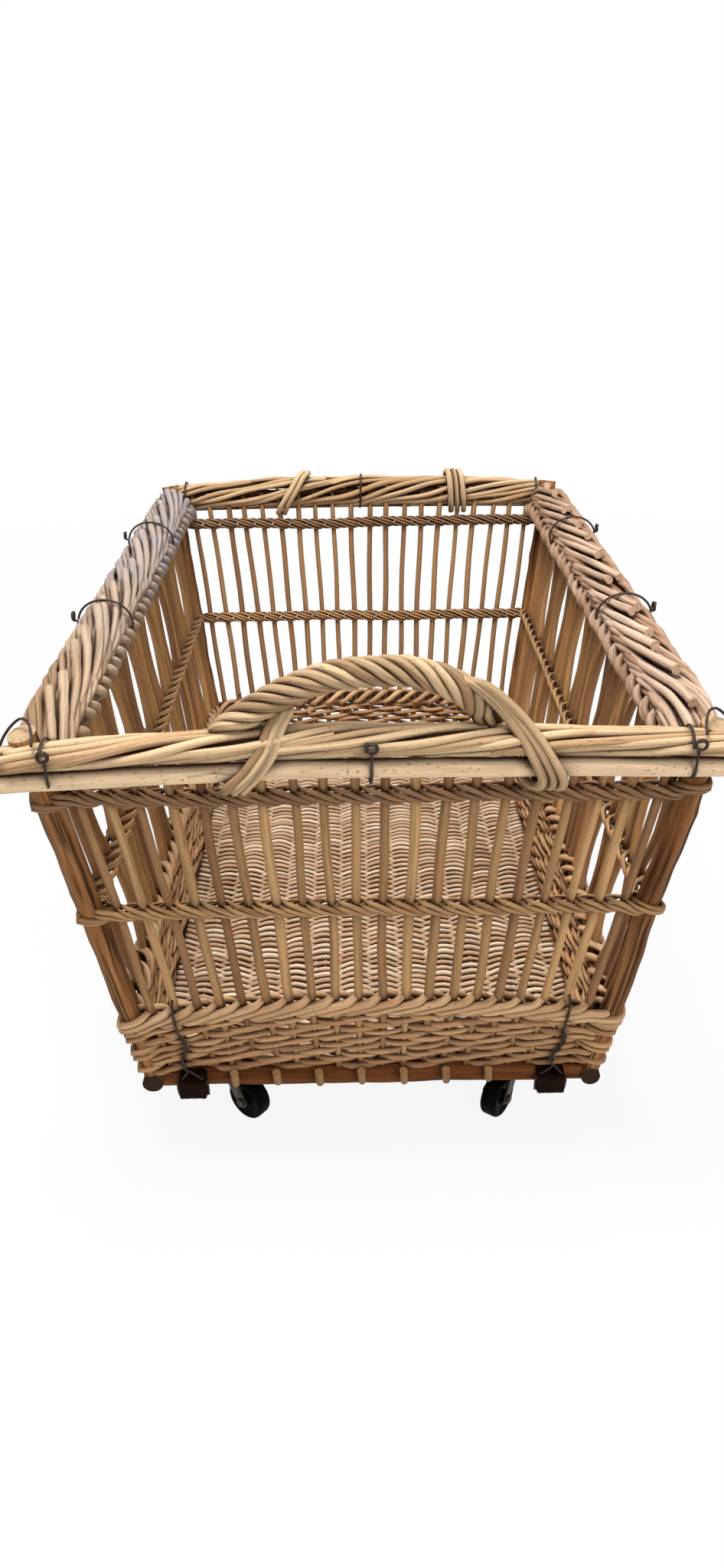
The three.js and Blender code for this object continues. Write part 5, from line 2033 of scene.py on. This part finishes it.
@dataclass
class Studio:
    """The pale floor, the soft lights and the camera at the photograph's angle."""

    camera_place: Triple = (-0.0099, -1.3723, 0.9503)
    pitch: float = math.radians(27.733)
    yaw: float = math.radians(0.213)
    roll: float = math.radians(0.784)
    focal_pixels: float = 1480.0
    frame_height: float = 2048.0
    sensor: float = 36.0
    floor_size: float = 60.0
    floor_colour: Colour = (0.72, 0.71, 0.70)
    floor_glow: Span = (0.9, 1.0)
    glow_span: Span = (0.9, 2.6)
    sky: float = 0.28
    aim: Triple = (0.0, 0.0, 0.3)

    def build(self) -> None:
        """Sets up everything round the object."""
        scene = bpy.context.scene
        scene.view_settings.view_transform = "Standard"
        self.add_camera(scene)
        self.add_floor()
        self.add_world(scene)
        self.add_lamp("key", (-0.4, -0.5, 3.0), size=1.1, power=100.0)
        self.add_lamp("front", (1.3, -2.7, 2.3), size=1.5, power=46.0)
        self.add_lamp("back", (0.6, 2.4, 2.8), size=1.6, power=34.0)

    def add_camera(self, scene: bpy.types.Scene) -> None:
        """Adds the camera with the photograph's lens and turn.

        Args:
            scene: The scene that looks through it.
        """
        forward = np.array(
            (
                math.sin(self.yaw) * math.cos(self.pitch),
                math.cos(self.yaw) * math.cos(self.pitch),
                -math.sin(self.pitch),
            )
        )
        level = np.array((math.cos(self.yaw), -math.sin(self.yaw), 0.0))
        down = np.cross(forward, level)
        right = math.cos(self.roll) * level + math.sin(self.roll) * down
        under = -math.sin(self.roll) * level + math.cos(self.roll) * down
        turn = Matrix((right, -under, -forward)).transposed().to_4x4()
        data = bpy.data.cameras.new("camera")
        data.sensor_width = self.sensor
        data.lens = self.focal_pixels / self.frame_height * self.sensor
        data.clip_start = 0.05
        camera = bpy.data.objects.new("camera", data)
        camera.matrix_world = Matrix.Translation(self.camera_place) @ turn
        scene.collection.objects.link(camera)
        scene.camera = camera

    def add_floor(self) -> None:
        """Adds a pale floor that is white to the camera and keeps the shadow."""
        clear_selection()
        bpy.ops.mesh.primitive_plane_add(size=self.floor_size)
        floor = bpy.context.active_object
        floor.name = "studio_floor"
        mix = Recipe("studio_floor")
        mix.put(mix.shader, "Base Color", self.floor_colour)
        mix.put(mix.shader, "Roughness", 0.9)
        mix.put(mix.shader, "Specular IOR Level", 0.0)
        glow = mix.tree.nodes.new("ShaderNodeEmission")
        seen = mix.tree.nodes.new("ShaderNodeLightPath")
        joined = mix.tree.nodes.new("ShaderNodeMixShader")
        share = mix.sum(seen.outputs["Is Camera Ray"], seen.outputs["Is Glossy Ray"], "MAXIMUM")
        share = mix.sum(share, seen.outputs["Is Transmission Ray"], "MAXIMUM")
        far = mix.add("VectorMath", "Value", {"Vector": mix.place()}, operation="LENGTH")
        far = mix.spread(far, *self.glow_span, *self.floor_glow)
        mix.tree.links.new(mix.sum(share, far, "MULTIPLY"), joined.inputs[0])
        mix.tree.links.new(mix.shader.outputs[0], joined.inputs[1])
        mix.tree.links.new(glow.outputs[0], joined.inputs[2])
        mix.tree.links.new(joined.outputs[0], mix.tree.nodes["Material Output"].inputs["Surface"])
        floor.data.materials.append(mix.material)

    def add_world(self, scene: bpy.types.Scene) -> None:
        """Adds a world that is white to the camera and a soft sky to the object.

        Args:
            scene: The scene that gets the world.
        """
        world = bpy.data.worlds.new("studio")
        world.use_nodes = True
        tree = world.node_tree
        back = tree.nodes["Background"]
        back.inputs["Color"].default_value = (1.0, 1.0, 1.0, 1.0)
        seen = tree.nodes.new("ShaderNodeLightPath")
        level = tree.nodes.new("ShaderNodeMapRange")
        level.inputs["To Min"].default_value = self.sky
        level.inputs["To Max"].default_value = 1.0
        tree.links.new(seen.outputs["Is Camera Ray"], level.inputs["Value"])
        tree.links.new(level.outputs["Result"], back.inputs["Strength"])
        scene.world = world

    def add_lamp(self, name: str, place: Triple, size: float, power: float) -> None:
        """Adds a square soft lamp that faces the basket.

        Args:
            name: The lamp's name.
            place: Where it hangs.
            size: Its width.
            power: Its power in watts.
        """
        data = bpy.data.lights.new(name, "AREA")
        data.size = size
        data.energy = power
        lamp = bpy.data.objects.new(name, data)
        lamp.location = place
        aim = Vector(self.aim) - Vector(place)
        lamp.rotation_euler = aim.to_track_quat("-Z", "Y").to_euler()
        bpy.context.scene.collection.objects.link(lamp)


FINISHES = {
    "stakes": WillowFinish(
        "stake_willow", srgb(218, 171, 108), srgb(142, 93, 40), srgb(86, 47, 15), sawn=srgb(186, 146, 96)
    ),
    "side stakes": WillowFinish("side_stake_willow", srgb(204, 150, 80), srgb(134, 81, 28), srgb(78, 40, 10)),
    "wale": WillowFinish("wale_willow", srgb(216, 168, 108), srgb(150, 101, 48), srgb(90, 51, 18)),
    # Painted shade: a darker copy of the wale finish for the top wale, which lies in the rim's shadow.
    "shaded top wale": WillowFinish("shaded_top_wale_willow", srgb(172, 126, 76), srgb(108, 68, 32), srgb(66, 36, 12)),
    "band": WillowFinish(
        "band_willow",
        srgb(230, 180, 124),
        srgb(178, 124, 72),
        srgb(98, 55, 22),
        crevice_shade_reach=0.010,
        crevice_shade_share=0.85,
    ),
    "border": WillowFinish("border_willow", srgb(238, 194, 144), srgb(192, 142, 90), srgb(110, 68, 34)),
    "floor": WillowFinish("floor_willow", srgb(252, 225, 190), srgb(204, 160, 116), srgb(110, 70, 36)),
    "rim": WillowFinish(
        "rim_willow", srgb(230, 198, 152), srgb(190, 148, 98), srgb(120, 78, 40), crevice_shade_share=0.80
    ),
    "pole": WillowFinish(
        "pole_willow", srgb(248, 220, 180), srgb(232, 196, 150), srgb(170, 126, 80), streak_share=0.3
    ),
    "handle": WillowFinish(
        "handle_willow", srgb(220, 188, 142), srgb(160, 123, 78), srgb(92, 60, 28), streak_share=0.8
    ),
    "left plait": WillowFinish(
        "left_plait_willow",
        srgb(218, 192, 162),
        srgb(150, 115, 80),
        srgb(94, 62, 36),
        grey=srgb(156, 150, 154),
        sawn=srgb(226, 214, 206),
        grey_share=0.8,
        grey_span=(-0.35, 0.15),
    ),
    # The right plait's grey is a brown, so this finish turns darker towards the back of the plait.
    "right plait": WillowFinish(
        "right_plait_willow",
        srgb(236, 206, 180),
        srgb(158, 114, 80),
        srgb(98, 60, 34),
        grey=srgb(154, 112, 80),
        sawn=srgb(214, 180, 150),
        grey_share=0.5,
        grey_span=(-0.1, 0.4),
    ),
}
POST_FINISH = BarkFinish(
    "post_bark", srgb(166, 116, 70), srgb(114, 66, 30), srgb(40, 18, 7), srgb(178, 150, 116)
)
SIDE_RAIL_FINISH = BarkFinish(
    "rail_bark", srgb(130, 90, 56), srgb(92, 54, 28), srgb(30, 16, 8), srgb(50, 31, 20)
)
END_RAIL_FINISH = BarkFinish(
    "red_rail_bark", srgb(130, 78, 38), srgb(106, 58, 24), srgb(48, 22, 8), srgb(140, 104, 72)
)
RUNNER_FINISH = PlankFinish("runner_wood", srgb(32, 13, 5), srgb(20, 8, 3), srgb(48, 28, 17))
BOARD_FINISH = PlankFinish(
    "board_wood", srgb(120, 86, 56), srgb(92, 62, 38), srgb(140, 118, 96), grain_scale=(6.0, 90.0, 90.0)
)
WIRE_FINISH = MetalFinish("tie_wire", srgb(64, 54, 47), srgb(44, 30, 22), metallic=0.6, roughness=0.5)
STEEL_FINISH = MetalFinish("caster_steel", srgb(82, 74, 66), srgb(38, 30, 24))
RUBBER_FINISH = RubberFinish("wheel_rubber", srgb(6, 4, 4), srgb(17, 14, 13))

END_RIM_SECTION = ((0.4744, 0.5265, 0.0180, 0.0150), (0.4790, 0.5055, 0.0112, 0.0112))
BACK_RIM_SECTION = ((0.4644, 0.5235, 0.0185, 0.0262), (0.4790, 0.5055, 0.0112, 0.0112))
SIDE_RIM_SECTION = ((0.2910, 0.5220, 0.0305, 0.0262),)
STAKE_TOPS = {Side.FRONT: 0.432, Side.BACK: 0.432, Side.LEFT: 0.424, Side.RIGHT: 0.424}
RIM_END_SINKS = {Side.FRONT: (0.006, 0.002), Side.BACK: (0.009, 0.009)}
RIM_SECTIONS = {
    Side.FRONT: END_RIM_SECTION,
    Side.BACK: BACK_RIM_SECTION,
    Side.LEFT: SIDE_RIM_SECTION,
    Side.RIGHT: SIDE_RIM_SECTION,
}

FRONT_HANDLE_AXIS = (
    (-0.131, -0.006, -0.002),
    (-0.124, -0.002, 0.012),
    (-0.105, 0.0, 0.0255),
    (-0.085, 0.0, 0.0380),
    (-0.065, 0.0, 0.0485),
    (-0.043, 0.0, 0.0570),
    (-0.021, 0.0, 0.0620),
    (0.012, 0.0, 0.0645),
    (0.038, 0.0, 0.0625),
    (0.059, 0.0, 0.0560),
    (0.077, 0.0, 0.0475),
    (0.091, -0.001, 0.0360),
    (0.100, -0.004, 0.0220),
    (0.106, -0.009, 0.0060),
    (0.108, -0.012, -0.008),
)
FRONT_HANDLE_WRAPS = (
    Wrap(
        (
            (-0.070, 0.001, 0.033),
            (-0.0795, 0.0085, 0.0175),
            (-0.0865, 0.0165, 0.000),
            (-0.100, 0.0228, -0.0185),
            (-0.1145, 0.0225, -0.033),
            (-0.117, 0.0130, -0.040),
            (-0.114, 0.0020, -0.040),
            (-0.110, -0.0060, -0.030),
        ),
        0.0050,
        0.0095,
    ),
    Wrap(
        (
            (0.072, 0.002, 0.0560),
            (0.090, 0.007, 0.0540),
            (0.1075, 0.009, 0.0410),
            (0.1225, 0.011, 0.0255),
            (0.1373, 0.0165, 0.0070),
            (0.1486, 0.0228, -0.0110),
            (0.1564, 0.0235, -0.0270),
            (0.1560, 0.0180, -0.0370),
            (0.1510, 0.0080, -0.0410),
            (0.1460, -0.0040, -0.0380),
            (0.1430, -0.0065, -0.0250),
        ),
        0.0040,
        0.0118,
    ),
)
BACK_HANDLE_LEAN = math.radians(20.0)
BACK_WRAP_SECTION = (
    (0.018, 0.006),
    (0.010, 0.0185),
    (-0.002, 0.0225),
    (-0.0175, 0.018),
    (-0.0262, 0.002),
    (-0.0262, -0.020),
    (-0.016, -0.037),
)
BACK_WRAP_PLACES = (
    (-0.146, -0.147, -0.148, -0.150, -0.152, -0.154, -0.155),
    (0.090, 0.088, 0.086, 0.094, 0.104, 0.118, 0.126),
)
BACK_HANDLE_WRAPS = tuple(
    Wrap(tuple((along, *spot) for along, spot in zip(places, BACK_WRAP_SECTION)), 0.0085, 0.0100, rods)
    for places, rods in zip(BACK_WRAP_PLACES, (3, 2))
)


def main() -> None:
    """Builds the basket on its frame and the studio round it."""
    logging.basicConfig(level=logging.INFO, format="%(message)s")
    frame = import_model()
    finishes = {name: finish.material() for name, finish in FINISHES.items()}
    basket = Basket()
    walls = {wall.side: wall for wall in basket.walls}
    StakeWalls(basket, STAKE_TOPS, finishes["stakes"], finishes["side stakes"]).build()
    TwinedWale(basket, "mid_wale", finishes["wale"], seed=21, rise=0.237).build()
    TwinedWale(
        basket, "top_wale", finishes["shaded top wale"], seed=22, rise=0.375, side_rise=0.016, back_rise=0.010
    ).build()
    FootBand(basket, finishes["band"], finishes["border"]).build()
    FloorWeave(finishes["floor"]).build()
    SidePlait(walls[Side.LEFT], finishes["left plait"], seed=61).build()
    SidePlait(walls[Side.RIGHT], finishes["right plait"], seed=62).build()
    EndRim(
        walls[Side.FRONT],
        finishes["pole"],
        finishes["rim"],
        seed=63,
        rods=11,
        spread_out=0.0130,
        spread_up=0.0110,
        shift_out=0.003,
        level_shift=-0.0005,
        half_length=0.330,
        end_thinning=0.4,
        end_drops=(0.0085, 0.0025),
    ).build()
    EndRim(
        walls[Side.BACK],
        finishes["pole"],
        finishes["rim"],
        seed=64,
        rods=13,
        spread_out=0.0130,
        spread_up=0.0205,
        shift_out=-0.006,
        level_shift=-0.009,
        half_length=0.300,
        end_thinning=0.2,
    ).build()
    RopeHandle(
        walls[Side.FRONT],
        finishes["handle"],
        "front_rope_handle",
        seed=65,
        axis=FRONT_HANDLE_AXIS,
        facing=(1.0, 0.0),
        wraps=FRONT_HANDLE_WRAPS,
    ).build()
    lean = BACK_HANDLE_LEAN
    RopeHandle(
        walls[Side.BACK],
        finishes["handle"],
        "back_rope_handle",
        seed=66,
        axis=hanging_arch(-0.141, 0.113, (0.020, -0.006), 0.046, lean),
        facing=(-math.sin(lean), -math.cos(lean)),
        wraps=BACK_HANDLE_WRAPS,
    ).build()
    WireTies(basket, WIRE_FINISH.material(), RIM_SECTIONS, RIM_END_SINKS).build()
    CornerPosts(basket, POST_FINISH.material()).build()
    BaseRails(SIDE_RAIL_FINISH.material(), END_RAIL_FINISH.material()).build()
    RunnersAndBoards(RUNNER_FINISH.material(), BOARD_FINISH.material()).build()
    steel = STEEL_FINISH.material()
    rubber = RUBBER_FINISH.material()
    joints = {joint["name"]: joint for joint in frame["joints"]}
    for corner in CORNERS:
        Caster(corner, joints, steel, rubber).build()
    Studio().build()


if __name__ == "__main__":
    main()
